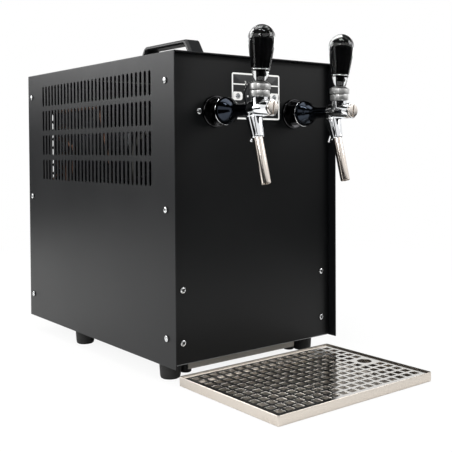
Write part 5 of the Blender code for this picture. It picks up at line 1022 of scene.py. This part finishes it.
def pale_table():
    """Pale laminate that fades to the white of the surroundings away from the part, for the eye only."""
    made = plain("pale_table", "F4F4F3")
    tree = made.node_tree
    surface = tree.nodes["Principled BSDF"]
    place = add_node(tree, "TexCoord", output="Object")
    away = add_node(tree, "VectorMath", {"operation": "LENGTH"}, {0: place}, "Value")
    limits = {"From Min": 0.45, "From Max": 1.5, "To Min": 0.9, "To Max": 1.0}
    fade = add_node(tree, "MapRange", limits, {"Value": away})
    seen = add_node(tree, "LightPath", output="Is Camera Ray")
    share = add_node(tree, "Math", {"operation": "MULTIPLY"}, {0: seen, 1: fade})
    glow = add_node(tree, "Emission", {"Strength": 1.0})
    mixed = add_node(tree, "MixShader", None, {0: share, 1: surface.outputs[0], 2: glow})
    tree.links.new(mixed, tree.nodes["Material Output"].inputs["Surface"])
    return made


def stage_piece(name, points, faces, finish):
    """Stage piece from points and faces."""
    made = added(name, mesh_of(name, points, faces, False))
    made.data.materials.append(finish)
    return made


def soft_lamp(name, place, target, size, power, height=None):
    """Area lamp at a place, turned to its target: square, or a level strip of some height."""
    data = bpy.data.lights.new(name, "AREA")
    data.shape = "RECTANGLE"
    data.size, data.size_y = size, height or size
    data.energy = power
    lamp = added(name, data)
    lamp.location = place
    lamp.rotation_euler = (Vector(target) - Vector(place)).to_track_quat("-Z", "Y").to_euler()


TABLE_HALF = 6
CLOTH_AWAY = 2.6


def light_the_scene():
    """Table, world and lamps. The world is white to the eye, in mirrors and through glass."""
    stage_piece("table", TABLE_HALF * np.array([(-1, -1, 0), (1, -1, 0), (1, 1, 0), (-1, 1, 0)]),
                [(0, 1, 2, 3)], pale_table())
    shade = plain("dark_cloth", "141415")
    tall = [(-1.42, -1.38, 0), (-1.12, -1.69, 0), (-1.12, -1.69, 2.4), (-1.42, -1.38, 2.4)]
    lid = [(-3.3, -3.3, 2.4), (-3.3, 3.3, 2.4), (3.3, 3.3, 2.4), (3.3, -3.3, 2.4)]
    cloths = {"behind_camera": (tall, [(0, 1, 2, 3)]), "overhead": (lid, [(0, 1, 2, 3)])}
    for name, first, last, height, start in (("round_camera", -98, 20, 0.75, 0.38),
                                             ("front_right", 20, 72, 0.42, 0.38),
                                             ("back_left", 182, 244, 0.62, 0.74)):
        turn = np.radians(np.linspace(first, last, 33))
        foot = CLOTH_AWAY * np.stack([np.sin(turn), -np.cos(turn), 0 * turn], -1)
        cloths[name] = np.concatenate([foot, foot + (0, 0, height)]), grid_faces(2, 33)
        cloths[f"{name}_mat"] = np.concatenate([start * foot, foot]) + (0, 0, 0.002), grid_faces(2, 33)
    for name, (points, faces) in cloths.items():
        cloth = stage_piece(f"dark_cloth_{name}", points, faces, shade)
        cloth.visible_camera = cloth.visible_diffuse = cloth.visible_shadow = False
        cloth.visible_transmission = "back_left" not in name and name != "overhead"
    world = bpy.data.worlds.new("studio")
    bpy.context.scene.world = world
    world.use_nodes = True
    tree = world.node_tree
    tree.nodes.clear()
    ray = tree.nodes.new("ShaderNodeLightPath").outputs
    seen = ray["Is Camera Ray"]
    for kind in ("Is Glossy Ray", "Is Transmission Ray"):
        seen = add_node(tree, "Math", {"operation": "MAXIMUM"}, {0: seen, 1: ray[kind]})
    ambient, white = (add_node(tree, "Background", {"Color": (1, 1, 1, 1), "Strength": strength})
                      for strength in (0.8, 1.0))
    mixed = add_node(tree, "MixShader", None, {0: seen, 1: ambient, 2: white})
    add_node(tree, "OutputWorld", None, {"Surface": mixed})
    soft_lamp("back_left_softbox", (-1.8, 2.0, 1.4), (0, 0, 0.3), 1.5, 40)
    soft_lamp("overhead_softbox", (-0.2, 0.3, 2.2), (0, 0, 0.2), 1.2, 14)
    soft_lamp("overhead_strip", (-0.55, -0.9, 2.15), (-0.05, -0.4, 0.46), 1.5, 12, 0.14)
    soft_lamp("front_right_softbox", (1.75, -1.85, 1.6), (0, 0, 0.3), 1.1, 18)
    soft_lamp("front_left_lamp", (-2.2, -1.6, 1.5), (0, 0, 0.3), 0.8, 20)


light_the_scene()
bpy.context.scene.view_settings.view_transform = "Standard"
